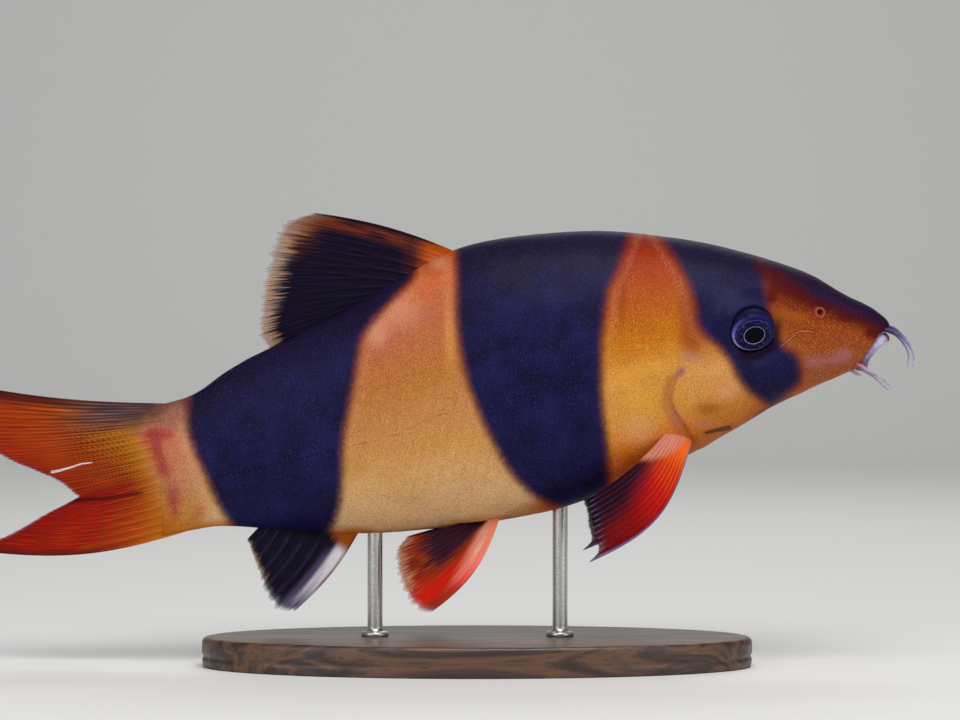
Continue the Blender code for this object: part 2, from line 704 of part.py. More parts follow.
def main():
    clear_scene()
    group = collection("clown_loach")
    trunk = fish(group)
    rods = stand_rods(trunk, group)
    for rod in rods:
        finish(rod, "stand_rod")
    finish(stand_base(group), "stand_base")


main()
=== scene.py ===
"""Clown loach, life size, on its display stand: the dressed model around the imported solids.

The fish is built level in its own frame, in millimetres: X forward from the base of the tail fin, Y to the
fish's left and Z up from the body's axis. FishForm then bends its tail, pitches it nose-up and puts it over
the stand, as the solids are. Markings are drawn as smooth lines through pixels of the photograph, which is
960 by 720, and reach the shaders as distances kept on the vertices.
"""

from __future__ import annotations

import logging
import math
from dataclasses import dataclass, field
from enum import Enum
from typing import Any, NamedTuple

import bpy
import numpy as np
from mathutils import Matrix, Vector

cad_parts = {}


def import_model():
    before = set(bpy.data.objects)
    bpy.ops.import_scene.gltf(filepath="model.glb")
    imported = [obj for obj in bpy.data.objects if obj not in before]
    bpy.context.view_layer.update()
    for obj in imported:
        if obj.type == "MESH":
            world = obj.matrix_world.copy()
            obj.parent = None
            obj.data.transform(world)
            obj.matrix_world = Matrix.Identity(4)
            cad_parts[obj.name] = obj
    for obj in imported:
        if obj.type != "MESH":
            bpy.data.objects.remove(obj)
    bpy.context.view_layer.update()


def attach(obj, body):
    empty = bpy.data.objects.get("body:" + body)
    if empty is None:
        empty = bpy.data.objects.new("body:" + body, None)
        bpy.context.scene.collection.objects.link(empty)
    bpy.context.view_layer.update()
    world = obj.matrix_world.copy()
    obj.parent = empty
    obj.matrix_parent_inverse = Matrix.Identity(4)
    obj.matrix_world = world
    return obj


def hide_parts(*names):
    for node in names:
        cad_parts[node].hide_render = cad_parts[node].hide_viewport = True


MM = 0.001
SEED = 7
ROOT = "root"

Array = np.ndarray
Pixels = tuple[tuple[float, float], ...]
Patches = tuple[tuple[float, float, float, float], ...]
Number = "Value | float"

report = logging.getLogger("clown_loach")


class Side(Enum):
    """Which side of the fish a piece is on."""

    MIDDLE = 0
    LEFT = 1
    RIGHT = -1

    def piece(self, name: str) -> str:
        """The name of a piece on this side."""
        return name if self is Side.MIDDLE else f"{name}_{self.name.lower()}"


BOTH_SIDES = (Side.LEFT, Side.RIGHT)


# Curves and meshes


def smooth_curve(knots: Any, values: Any, places: Any) -> Array:
    """A smooth curve through values at knots.

    Args:
        knots: rising places of the values.
        values: a number or a row of numbers at each knot.
        places: where the curve is read, in any shape.

    Returns:
        The values there, with a row's numbers last.
    """
    knots, values = np.asarray(knots, float), np.asarray(values, float)
    places = np.clip(np.asarray(places, float), knots[0], knots[-1])
    count = np.arange(len(knots))
    before, after = np.maximum(count - 1, 0), np.minimum(count + 1, len(knots) - 1)
    rise, run = values[after] - values[before], knots[after] - knots[before]
    slopes = rise / (run[:, None] if values.ndim > 1 else run)
    i = np.clip(np.searchsorted(knots, places, side="right") - 1, 0, len(knots) - 2)
    span = knots[i + 1] - knots[i]
    t = (places - knots[i]) / span
    if values.ndim > 1:
        t, span = t[..., None], span[..., None]
    start = (2 * t**3 - 3 * t**2 + 1) * values[i] + (t**3 - 2 * t**2 + t) * span * slopes[i]
    end = (3 * t**2 - 2 * t**3) * values[i + 1] + (t**3 - t**2) * span * slopes[i + 1]
    return start + end


def along_curve(points: Any, share: Any) -> Array:
    """A smooth curve through points, read at a share of it from 0 to 1."""
    return smooth_curve(np.linspace(0, 1, len(points)), points, share)


def ease(values: Any, low: float, high: float) -> Array:
    """Values turned into a smooth step from 0 at low to 1 at high."""
    t = np.clip((np.asarray(values, float) - low) / (high - low), 0, 1)
    return t * t * (3 - 2 * t)


def bell(values: Any, centre: float, spread: float) -> Array:
    """A smooth hump of height 1 around centre."""
    return np.exp(-(((np.asarray(values, float) - centre) / spread) ** 2))


def unit(vectors: Array) -> Array:
    """Vectors made one long."""
    return vectors / np.maximum(np.linalg.norm(vectors, axis=-1, keepdims=True), 1e-12)


def ripple(points: Array, size: float, seed: int) -> Array:
    """A smooth random height between about -1 and 1 at each point.

    Args:
        points: places, in millimetres.
        size: rough width of a hump, in millimetres.
        seed: picks the pattern.

    Returns:
        One height for each point.
    """
    draws = np.random.default_rng(SEED + seed)
    total = np.zeros(points.shape[:-1])
    waves, shortest, longest = 7, 1.4, 3.2
    for _ in range(waves):
        way = unit(draws.normal(size=3)) * 2 * math.pi / (size * draws.uniform(shortest, longest))
        total += np.sin(points @ way + draws.uniform(0, 2 * math.pi))
    return total / math.sqrt(waves)


def grid_faces(rows: int, columns: int, closed: bool = False) -> Array:
    """Quads between the points of a grid that are numbered row by row.

    Args:
        rows: number of rows.
        columns: number of columns.
        closed: whether the last column joins the first.

    Returns:
        Four vertex numbers for each quad.
    """
    across = columns if closed else columns - 1
    row, column = np.meshgrid(np.arange(rows - 1), np.arange(across), indexing="ij")
    after = (column + 1) % columns
    corners = (row * columns + column, row * columns + after, (row + 1) * columns + after,
               (row + 1) * columns + column)
    return np.stack(corners, axis=-1).reshape(-1, 4)


def capped(rings: Array, ends: Array | None = None) -> tuple[Array, list[Array]]:
    """Rings of points closed into one skin with a fan at each end.

    Args:
        rings: the rings, each with as many points.
        ends: the middles of the first fan and the last one, or None for the means of the end rings.

    Returns:
        Its points and its faces.
    """
    count, sides = rings.shape[:2]
    middles = np.array([rings[0].mean(0), rings[-1].mean(0)]) if ends is None else ends
    column = np.arange(sides)
    after, last = (column + 1) % sides, (count - 1) * sides
    first, end = np.full(sides, count * sides), np.full(sides, count * sides + 1)
    fans = np.vstack([np.stack([first, after, column], 1), np.stack([end, last + column, last + after], 1)])
    return np.vstack([rings.reshape(-1, 3), middles]), [grid_faces(count, sides, closed=True), fans]


def straight_cap(columns: int) -> list[Array]:
    """Faces straight across a ring of points, which join one side of it to the other.

    Args:
        columns: points in the ring, an even number.

    Returns:
        The quads, and the triangle at each end of them.
    """
    half = columns // 2
    near = np.arange(1, half)
    far = columns - near
    strips = np.stack([near[:-1], near[1:], far[1:], far[:-1]], 1)
    return [strips, np.array([[0, near[0], far[0]], [near[-1], half, far[-1]]])]


def angle_from(turns: Array, centre: float) -> Array:
    """How far angles are from a middle one, the short way round."""
    return np.abs(np.angle(np.exp(1j * (turns - centre))))


def make_piece(name: str, points: Array, faces: list[Array], finish: bpy.types.Material,
               marks: dict[str, Array] | None = None) -> bpy.types.Object:
    """A smooth piece from numbered points, with a number for each mark on every vertex.

    Args:
        name: the piece's name.
        points: places of its vertices, in metres.
        faces: arrays of quads or triangles.
        finish: its material.
        marks: attributes that its material reads.

    Returns:
        The piece, which rides on the still body.
    """
    mesh = bpy.data.meshes.new(name)
    points = points.reshape(-1, 3)
    mesh.vertices.add(len(points))
    mesh.vertices.foreach_set("co", points.ravel())
    corners = np.concatenate([face.ravel() for face in faces])
    sizes = np.concatenate([np.full(len(face), face.shape[1]) for face in faces])
    mesh.loops.add(len(corners))
    mesh.loops.foreach_set("vertex_index", corners.astype(np.int32))
    mesh.polygons.add(len(sizes))
    mesh.polygons.foreach_set("loop_start", np.concatenate([[0], np.cumsum(sizes)[:-1]]).astype(np.int32))
    mesh.update(calc_edges=True)
    mesh.shade_smooth()
    for mark, values in (marks or {}).items():
        layer = mesh.attributes.new(mark, "FLOAT", "POINT")
        layer.data.foreach_set("value", np.asarray(values, np.float32).ravel())
    mesh.materials.append(finish)
    made = bpy.data.objects.new(name, mesh)
    bpy.context.scene.collection.objects.link(made)
    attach(made, ROOT)
    report.info("%s: %d faces", name, len(sizes))
    return made


def tube_grid(path: Array, radii: Array, sides: int) -> Array:
    """Rings of points round a path.

    Args:
        path: points of its middle line.
        radii: the radius at each point, or one for each side of each ring.
        sides: points in each ring.

    Returns:
        The rings' points.
    """
    ahead = unit(np.gradient(path, axis=0))
    up = np.array([0.0, 0.0, 1.0])
    if abs(ahead[0] @ up) > 0.9:
        up = np.array([0.0, 1.0, 0.0])
    frames = []
    for way in ahead:
        up = unit(up - way * (up @ way))
        frames.append((up, np.cross(way, up)))
    turns = np.linspace(0, 2 * math.pi, sides, endpoint=False)
    radii = np.broadcast_to(radii if np.ndim(radii) > 1 else np.asarray(radii)[:, None], (len(path), sides))
    rings = [point + radius[:, None] * (np.outer(np.cos(turns), u) + np.outer(np.sin(turns), v))
             for point, radius, (u, v) in zip(path, radii, frames)]
    return np.array(rings)


# Shader maths


def paint(code: str) -> tuple[float, float, float, float]:
    """A colour from its hexadecimal code as a monitor shows it.

    Args:
        code: the code, such as #A0B0C0.

    Returns:
        Red, green, blue and alpha for Blender.
    """
    parts = [int(code[i:i + 2], 16) / 255 for i in (1, 3, 5)]
    red, green, blue = (p / 12.92 if p <= 0.04045 else ((p + 0.055) / 1.055) ** 2.4 for p in parts)
    return red, green, blue, 1.0


class Wrapped:
    """What one socket of a board gives."""

    def __init__(self, board: Board, socket: bpy.types.NodeSocket) -> None:
        """Wraps one socket of a board."""
        self.board = board
        self.socket = socket


class Value(Wrapped):
    """A number that varies over a surface."""

    def __add__(self, other: Number) -> Value:
        """The sum."""
        return self.board.maths("ADD", self, other)

    def __sub__(self, other: Number) -> Value:
        """The difference."""
        return self.board.maths("SUBTRACT", self, other)

    def __rsub__(self, other: float) -> Value:
        """The difference from a number."""
        return self.board.maths("SUBTRACT", other, self)

    def __mul__(self, other: Number) -> Value:
        """The product."""
        return self.board.maths("MULTIPLY", self, other)

    def __truediv__(self, other: Number) -> Value:
        """The quotient."""
        return self.board.maths("DIVIDE", self, other)

    def __rtruediv__(self, other: float) -> Value:
        """The quotient of a number."""
        return self.board.maths("DIVIDE", other, self)

    __radd__ = __add__
    __rmul__ = __mul__

    def apply(self, operation: str) -> Value:
        """A function of one number, such as ABSOLUTE or COSINE."""
        return self.board.maths(operation, self, 0.0)

    def wave(self, length: float) -> Value:
        """A cosine wave from -1 to 1 that repeats after each length of it."""
        return (self * (2 * math.pi / length)).apply("COSINE")

    def most(self, other: Number) -> Value:
        """The larger of two numbers."""
        return self.board.maths("MAXIMUM", self, other)

    def step(self, low: float, high: float) -> Value:
        """A smooth step from 0 at low to 1 at high, where low may be the larger.

        Args:
            low: where it is 0.
            high: where it is 1.

        Returns:
            The step.
        """
        settings = {"interpolation_type": "SMOOTHSTEP"}
        made = self.board.node("ShaderNodeMapRange", settings, {0: self, 1: low, 2: high, 3: 0.0, 4: 1.0})
        return Value(self.board, made.outputs[0])

    def band(self, low: float, high: float, soft: float) -> Value:
        """1 between low and high and 0 outside, with soft edges."""
        return self.step(low - soft, low + soft) * self.step(high + soft, high - soft)


class Tint(Wrapped):
    """A colour that varies over a surface."""

    def over(self, other: Tint | str, share: Number) -> Tint:
        """This colour with a share of another laid on it.

        Args:
            other: the colour to lay on, or its code.
            share: how much of it, from 0 to 1.

        Returns:
            The mixed colour.
        """
        settings = {"data_type": "RGBA", "blend_type": "MIX", "clamp_factor": True}
        made = self.board.node("ShaderNodeMix", settings, {0: share, 6: self, 7: other})
        return Tint(self.board, made.outputs[2])

    def layered(self, *layers: tuple[Tint | str, Number]) -> Tint:
        """This colour with others laid on it, one after another.

        Args:
            *layers: each other colour and its share, the lowest first.

        Returns:
            The mixed colour.
        """
        colour = self
        for other, share in layers:
            colour = colour.over(other, share)
        return colour


class Board:
    """The node tree of one material."""

    def __init__(self, name: str, **constants: Any) -> None:
        """Makes the material and sets the shader's own sockets.

        Args:
            name: the material's name.
            **constants: values for the shader's sockets, with _ for each space in their names.
        """
        self.material = bpy.data.materials.new(name)
        self.material.use_nodes = True
        self.tree = self.material.node_tree
        self.shader = self.tree.nodes["Principled BSDF"]
        for socket, value in constants.items():
            self.shader.inputs[socket.replace("_", " ")].default_value = value

    def feed(self, socket: bpy.types.NodeSocket, value: Any) -> None:
        """Links a socket to a wrapped one or sets it to a plain value.

        Args:
            socket: the socket.
            value: what it gets.
        """
        if isinstance(value, Wrapped):
            self.tree.links.new(value.socket, socket)
        elif isinstance(value, bpy.types.NodeSocket):
            self.tree.links.new(value, socket)
        else:
            socket.default_value = paint(value) if isinstance(value, str) else value

    def node(self, kind: str, settings: dict[str, Any], sockets: dict[Any, Any]) -> bpy.types.Node:
        """Any node.

        Args:
            kind: its type.
            settings: its properties, or the stops of a ramp.
            sockets: values or links by the sockets' names or numbers.

        Returns:
            The node.
        """
        made = self.tree.nodes.new(kind)
        for name, value in settings.items():
            if name == "stops":
                self.set_stops(made.color_ramp, value)
            else:
                setattr(made, name, value)
        for name, value in sockets.items():
            self.feed(made.inputs[name], value)
        return made

    @staticmethod
    def set_stops(ramp: bpy.types.ColorRamp, stops: list[tuple[float, str]]) -> None:
        """Puts a ramp's colours at their places.

        Args:
            ramp: the ramp.
            stops: places and colour codes, from the left.
        """
        ramp.elements[0].position, ramp.elements[1].position = stops[0][0], stops[-1][0]
        for place, _ in stops[1:-1]:
            ramp.elements.new(place)
        for element, (place, code) in zip(ramp.elements, stops):
            element.position, element.color = place, paint(code)

    def maths(self, operation: str, first: Number, second: Number) -> Value:
        """One Math node."""
        made = self.node("ShaderNodeMath", {"operation": operation}, {0: first, 1: second})
        return Value(self, made.outputs[0])

    def mark(self, name: str) -> Value:
        """A number kept on the piece's vertices."""
        made = self.node("ShaderNodeAttribute", {"attribute_name": name}, {})
        return Value(self, made.outputs["Fac"])

    def places(self, stretch: tuple[float, float, float] = (1, 1, 1)) -> bpy.types.NodeSocket:
        """The place on the model in millimetres, stretched along its axes.

        Args:
            stretch: scale along each axis.

        Returns:
            The place's socket.
        """
        spot = self.node("ShaderNodeTexCoord", {}, {}).outputs["Object"]
        scale = [part / MM for part in stretch]
        return self.node("ShaderNodeVectorMath", {"operation": "MULTIPLY"}, {0: spot, 1: scale}).outputs[0]

    def pair(self, first: Number, second: Number) -> bpy.types.NodeSocket:
        """Two numbers as a place for a texture."""
        return self.node("ShaderNodeCombineXYZ", {}, {0: first, 1: second}).outputs[0]

    def noise(self, size: float, detail: float = 2.0, where: Any = None, warp: float = 0.0) -> Value:
        """Soft noise from 0 to 1.

        Args:
            size: width of its humps, in millimetres or in the units of where.
            detail: number of finer layers.
            where: the place that it is read at.
            warp: distortion.

        Returns:
            The noise.
        """
        sockets = {"Vector": where or self.places(), "Scale": 1 / size, "Detail": detail, "Distortion": warp}
        made = self.node("ShaderNodeTexNoise", {}, sockets)
        return Value(self, made.outputs[0])

    def ramp(self, value: Value, *stops: tuple[float, str]) -> Tint:
        """A colour that follows a value through stops."""
        made = self.node("ShaderNodeValToRGB", {"stops": list(stops)}, {0: value})
        return Tint(self, made.outputs[0])

    def wear(self, colour: Tint, roughness: Value | None = None, height: Value | None = None,
             depth: float = 0.1, alpha: Value | None = None) -> bpy.types.Material:
        """Feeds the shader.

        Args:
            colour: its base colour.
            roughness: its roughness where that varies.
            height: relief from 0 to 1.
            depth: how high that relief is, in millimetres.
            alpha: how solid it is, where that varies.

        Returns:
            The material.
        """
        self.feed(self.shader.inputs["Base Color"], colour)
        if roughness is not None:
            self.feed(self.shader.inputs["Roughness"], roughness)
        if height is not None:
            sockets = {"Strength": 1.0, "Distance": depth * MM, "Height": height}
            bump = self.node("ShaderNodeBump", {}, sockets)
            self.feed(self.shader.inputs["Normal"], bump.outputs[0])
        if alpha is not None:
            self.feed(self.shader.inputs["Alpha"], alpha)
        return self.material


# The fish's shape


@dataclass(frozen=True)
class Section:
    """A leaning plane through the body, from a point of the back to a point of the belly."""

    back: tuple[float, float]
    belly: tuple[float, float]
    half_width: float
    level: float
    over: float
    under: float


@dataclass(frozen=True)
class Photo:
    """Where the photograph's pixels lie: its camera is level and looks at the fish's right side."""

    distance: float = 600.0
    pixel: float = 0.2
    middle: tuple[float, float] = (480.0, 360.0)
    aim: tuple[float, float] = (0.6, 61.2)

    def pixels(self, points: Array) -> Array:
        """The pixels that points over the stand fall on, in millimetres.

        Args:
            points: the points.

        Returns:
            A column and a row for each.
        """
        size = self.pixel * (1 + points[..., 1] / self.distance)
        across = self.middle[0] + (points[..., 0] - self.aim[0]) / size
        down = self.middle[1] - (points[..., 2] - self.aim[1]) / size
        return np.stack([across, down], axis=-1)


@dataclass(frozen=True)
class Outline:
    """A smooth line through pixels of the photograph, or the border of a patch."""

    points: Pixels
    finer: int = 6

    def curve(self) -> Array:
        """The line's points, close together."""
        count = (len(self.points) - 1) * self.finer + 1
        return along_curve(self.points, np.linspace(0, 1, count))

    def stretched(self, reach: float) -> Array:
        """The line run on straight past both of its ends.

        Args:
            reach: how far, in pixels.

        Returns:
            Its points.
        """
        line = self.curve()
        first = line[0] + unit(line[0] - line[1]) * reach
        last = line[-1] + unit(line[-1] - line[-2]) * reach
        return np.vstack([first, line, last])


def distance_from(line: Array, places: Array, patch: bool = False) -> Array:
    """How far places are from a line of short pieces.

    Args:
        line: its points.
        places: pixels to measure from.
        patch: whether the line closes round a patch, inside which the distance is positive and outside which
            it is negative.

    Returns:
        One distance for each place.
    """
    shape = places.shape[:-1]
    spots = places.reshape(-1, 2)
    starts = line if patch else line[:-1]
    ends = np.roll(line, -1, axis=0) if patch else line[1:]
    ways = ends - starts
    lengths = np.maximum((ways**2).sum(1), 1e-9)
    found = np.empty(len(spots))
    chunk = 20000
    for first in range(0, len(spots), chunk):
        part = spots[first:first + chunk]
        offset_x = part[:, None, 0] - starts[None, :, 0]
        offset_y = part[:, None, 1] - starts[None, :, 1]
        share = np.clip((offset_x * ways[:, 0] + offset_y * ways[:, 1]) / lengths, 0, 1)
        away = np.sqrt(((offset_x - share * ways[:, 0]) ** 2 + (offset_y - share * ways[:, 1]) ** 2).min(1))
        if patch:
            crosses = (starts[:, 1] > part[:, None, 1]) != (ends[:, 1] > part[:, None, 1])
            rise = np.where(np.abs(ways[:, 1]) < 1e-9, 1e-9, ways[:, 1])
            ahead = offset_x < ways[:, 0] * (part[:, None, 1] - starts[:, 1]) / rise
            away = np.where((crosses & ahead).sum(1) % 2 == 1, away, -away)
        found[first:first + chunk] = away
    return found.reshape(shape)


@dataclass(frozen=True)
class FishForm:
    """The body's sections and the pose, as the solids have them."""

    sections: tuple[Section, ...] = (
        Section((-0.1, 13.0), (0.1, -12.8), 1.7, 0.50, 1.9, 1.9),
        Section((8.3, 13.6), (7.6, -13.3), 3.7, 0.50, 1.9, 1.9),
        Section((17.3, 17.0), (16.3, -15.8), 5.4, 0.48, 1.8, 1.9),
        Section((26.0, 19.3), (24.8, -18.2), 7.1, 0.45, 1.75, 2.0),
        Section((39.0, 22.2), (34.5, -21.0), 9.0, 0.43, 1.7, 2.1),
        Section((52.3, 26.3), (45.5, -22.9), 10.7, 0.41, 1.7, 2.2),
        Section((66.1, 30.0), (60.9, -24.7), 12.2, 0.40, 1.75, 2.3),
        Section((79.7, 29.7), (75.3, -25.0), 13.0, 0.40, 1.8, 2.35),
        Section((95.5, 27.0), (90.2, -22.9), 13.1, 0.40, 1.85, 2.4),
        Section((107.0, 23.3), (103.2, -19.9), 12.6, 0.41, 1.9, 2.4),
        Section((118.2, 18.6), (111.9, -17.7), 11.4, 0.42, 1.9, 2.35),
        Section((127.3, 13.6), (120.7, -14.9), 9.7, 0.43, 1.95, 2.3),
        Section((134.5, 8.9), (128.4, -13.2), 7.7, 0.43, 2.0, 2.2),
        Section((139.8, 3.8), (133.7, -12.2), 6.2, 0.43, 2.0, 2.1),
        Section((144.0, 0.5), (137.2, -11.5), 5.0, 0.44, 2.0, 2.1),
        Section((146.7, -2.5), (138.6, -11.2), 4.2, 0.45, 2.0, 2.0),
        Section((147.4, -4.4), (138.9, -10.8), 3.6, 0.47, 2.0, 2.0),
        Section((146.9, -5.5), (139.8, -10.6), 2.7, 0.48, 2.0, 2.0),
    )
    pitch: float = math.radians(13)
    stand_x: float = -62.0
    stand_z: float = 39.2
    bend_start: float = 36.0
    bend_reach: float = 80.0
    bend: float = 6.5
    gill_section: int = 9
    gill_bulge: float = 3.3
    gill_bulge_height: float = -9.0
    gill_bulge_spread: float = 5.5
    throat_slit_shade_swing: float = 2.2
    throat_slit_shade_top: float = -14.0
    throat_slit_shade_length: float = 7.0
    gill_spread: float = 0.8

    def knots(self) -> Array:
        """How far along the fish the middle of each section is.

        Returns:
            Distances in millimetres.
        """
        middles = np.array([(np.array(s.back) + s.belly) / 2 for s in self.sections])
        steps = np.linalg.norm(np.diff(middles, axis=0), axis=1)
        return np.concatenate([[0.0], np.cumsum(steps)])

    def values(self, places: Array) -> Array:
        """The sections' eight numbers at places counted in sections.

        Args:
            places: the places.

        Returns:
            Eight numbers for each.
        """
        table = [(*s.back, *s.belly, s.half_width, s.level, s.over, s.under) for s in self.sections]
        knots = self.knots()
        along = np.interp(places, np.arange(len(knots)), knots)
        return smooth_curve(knots, table, along)

    def gill_swing(self, height: Array) -> Array:
        """How far forward of a plain cut the gill cover's rim lies at a height.

        Args:
            height: heights over the body's axis.

        Returns:
            Distances in millimetres.
        """
        bulge = self.gill_bulge * bell(height, self.gill_bulge_height, self.gill_bulge_spread)
        under_throat = np.clip((self.throat_slit_shade_top - height) / self.throat_slit_shade_length, 0, 1)
        return self.throat_slit_shade_swing * under_throat**2 - bulge

    def rings(self, places: Array, turns: Array) -> tuple[Array, Array]:
        """Points of the skin.

        Args:
            places: the place of each point counted in sections, one row for each ring.
            turns: the angle of each column from the back down the fish's left.

        Returns:
            The points and how high each is on its section, from 0 at the belly to 1 at the back.
        """
        table = self.values(places)
        back, belly = table[..., 0:2], table[..., 2:4]
        half_width, level, over, under = (table[..., k] for k in range(4, 8))
        lift, out = np.cos(turns), np.sin(turns)
        fullness = np.where(lift >= 0, over, under)
        share = np.where(lift >= 0, 1 - level, level)
        height = level + share * np.sign(lift) * np.abs(lift) ** (2 / fullness)
        flat = belly + (back - belly) * height[..., None]
        width = half_width * np.sign(out) * np.abs(out) ** (2 / fullness)
        swinging = bell(places, self.gill_section, self.gill_spread)
        x = flat[..., 0] + swinging * self.gill_swing(flat[..., 1])
        return np.stack([x, width, flat[..., 1]], axis=-1), height

    def half_width(self, x: Any, z: Any) -> Array:
        """Half width of the body at points of it seen from the side.

        Args:
            x: how far ahead each point is.
            z: how high it is.

        Returns:
            The half widths.
        """
        x, z = np.asarray(x, float), np.asarray(z, float)
        low, high = np.zeros(x.shape), np.full(x.shape, len(self.sections) - 1.0)
        halvings = 30
        for _ in range(halvings):
            middle = (low + high) / 2
            table = self.values(middle)
            up_x, up_z = table[..., 0] - table[..., 2], table[..., 1] - table[..., 3]
            ahead = (x - table[..., 2]) * up_z > (z - table[..., 3]) * up_x
            low, high = np.where(ahead, middle, low), np.where(ahead, high, middle)
        table = self.values(low)
        up_x, up_z = table[..., 0] - table[..., 2], table[..., 1] - table[..., 3]
        height = ((x - table[..., 2]) * up_x + (z - table[..., 3]) * up_z) / (up_x**2 + up_z**2)
        level, over, under = table[..., 5], table[..., 6], table[..., 7]
        above = height >= level
        away = np.where(above, (height - level) / (1 - level), (level - height) / level)
        fullness = np.where(above, over, under)
        return table[..., 4] * (1 - np.clip(away, 0, 1) ** fullness) ** (1 / fullness)

    def skin_point(self, x: float, z: float, side: Side) -> tuple[Array, Array]:
        """A point of the skin seen from the side, and the way out of it there.

        Args:
            x: how far ahead it is.
            z: how high it is.
            side: its side of the fish.

        Returns:
            The point and the way.
        """
        step = 0.5
        here, ahead, behind = (float(self.half_width(x + d, z)) for d in (0, step, -step))
        above, below = (float(self.half_width(x, z + d)) for d in (step, -step))
        outward = unit(np.array([-(ahead - behind) / (2 * step), side.value, -(above - below) / (2 * step)]))
        return np.array([x, side.value * here, z]), outward

    def posed(self, points: Array) -> Array:
        """Points of the level fish over the stand, still in millimetres.

        Args:
            points: the points.

        Returns:
            Their places.
        """
        x, y, z = points[..., 0], points[..., 1], points[..., 2]
        behind = np.maximum(0.0, self.bend_start - x) / self.bend_reach
        aside = y + self.bend * behind**2
        cos, sin = math.cos(self.pitch), math.sin(self.pitch)
        return np.stack([self.stand_x + x * cos - z * sin, aside, self.stand_z + x * sin + z * cos], axis=-1)

    def photo_marks(self, points: Array) -> Array:
        """The pixels that points of the level fish fall on, each seen from its own side.

        Args:
            points: the points.

        Returns:
            A column and a row for each.
        """
        near = points.copy()
        near[..., 1] = -np.abs(near[..., 1])
        return Photo().pixels(self.posed(near))


PATCHES: dict[str, Patches] = {
    "rose": ((149, 440, 10, 8), (155, 452, 9, 11), (163, 468, 9, 11), (163, 434, 16, 7), (174, 500, 9, 22),
             (205, 511, 11, 8)),
    "dark_red": ((777, 280, 13, 12), (796, 290, 14, 8), (822, 303, 15, 7), (770, 298, 7, 8),
                 (874, 334, 13, 7), (848, 317, 15, 6)),
    "warm_gold": ((783, 313, 11, 7), (800, 318, 10, 6), (806, 352, 6, 5), (708, 409, 16, 8)),
    "pink": ((814, 362, 15, 9), (838, 360, 14, 6), (845, 352, 10, 6), (676, 418, 10, 14), (690, 357, 14, 8),
             (704, 424, 14, 6)),
    # The peach patches are partly the skin's own tint and partly painted highlights: those on the cheek, over
    # the rear band and over the pectoral fin.
    "peach": ((727, 391, 17, 13), (377, 336, 12, 16), (400, 310, 30, 26), (640, 430, 26, 22),
              (438, 262, 12, 10)),
    "yellow": ((450, 335, 8, 62), (618, 377, 18, 13), (652, 366, 22, 12), (640, 402, 22, 16)),
    "russet": ((692, 338, 17, 24), (690, 300, 12, 26), (757, 322, 10, 60), (622, 292, 6, 40)),
}


def patch_mark(name: str, spots: Array) -> Array:
    """How far pixels are in a marking's soft ovals, each given by its middle, half width and half height.

    Args:
        name: the marking.
        spots: the pixels.

    Returns:
        A number for each pixel.
    """
    found = np.zeros(spots.shape[:-1])
    for x, y, wide, high in PATCHES[name]:
        found += bell(np.hypot((spots[..., 0] - x) / wide, (spots[..., 1] - y) / high), 0, 1.0)
    return found


# Finishes of the fish


def past_stalk(board: Board) -> Value:
    """How many pixels a place is ahead of the slanting line where the stalk turns into the tail fin.

    Args:
        board: the material's board.

    Returns:
        The distance in pixels.
    """
    across, down = board.mark("photo_x"), board.mark("photo_y")
    start, middle, slant, top_bend = 128.0, 420.0, 0.36, 26.0
    return across - start - (down - middle) * slant - down.step(434.0, 406.0) * top_bend


def stalk_colour(board: Board) -> Tint:
    """The pinkish tan end of the stalk with its rose-red patches, which turns into the fin's olive gold.

    Args:
        board: the material's board.

    Returns:
        Its colour.
    """
    across, down = board.mark("photo_x"), board.mark("photo_y")
    past = past_stalk(board)
    top, depth = 400.0, 132.0
    mottle = board.noise(14.0, 3.0, board.pair(across, down)) - 0.5
    fine = board.noise(1.6, 3.0, board.pair(across, down))
    streak = board.noise(2.4, 2.0, board.pair(across * 0.1, down + across * 0.12))
    tan = board.ramp((down + mottle * 24.0 - top) / depth, (0.0, "#583438"), (0.12, "#96604C"),
                     (0.35, "#C07450"), (0.62, "#C08058"), (0.85, "#BC8440"), (1.0, "#BC6C10"))
    tan = tan.layered(
        ("#B03040", (board.mark("rose") * (fine * 0.8 + 0.6)).step(0.1, 1.15) * 0.85),
        ("#7C3A10", streak.step(0.48, 0.66) * past.step(46.0, 0.0) * 0.5),
        ("#E0B080", past.band(44.0, 62.0, 9.0) * 0.3),
    )
    gold = board.ramp((down - top) / depth, (0.0, "#3A2830"), (0.16, "#5A3E30"), (0.3, "#B47418"),
                      (0.6, "#B87018"), (1.0, "#A4500C"))
    return gold.over(tan, (past + mottle * 20.0).step(-10.0, 24.0))


class SkinMaps(NamedTuple):
    """What the skin's colours follow: height on the body, the photograph's column and three noises."""

    board: Board
    level: Value
    across: Value
    blotch: Value
    fine: Value
    glints: Value


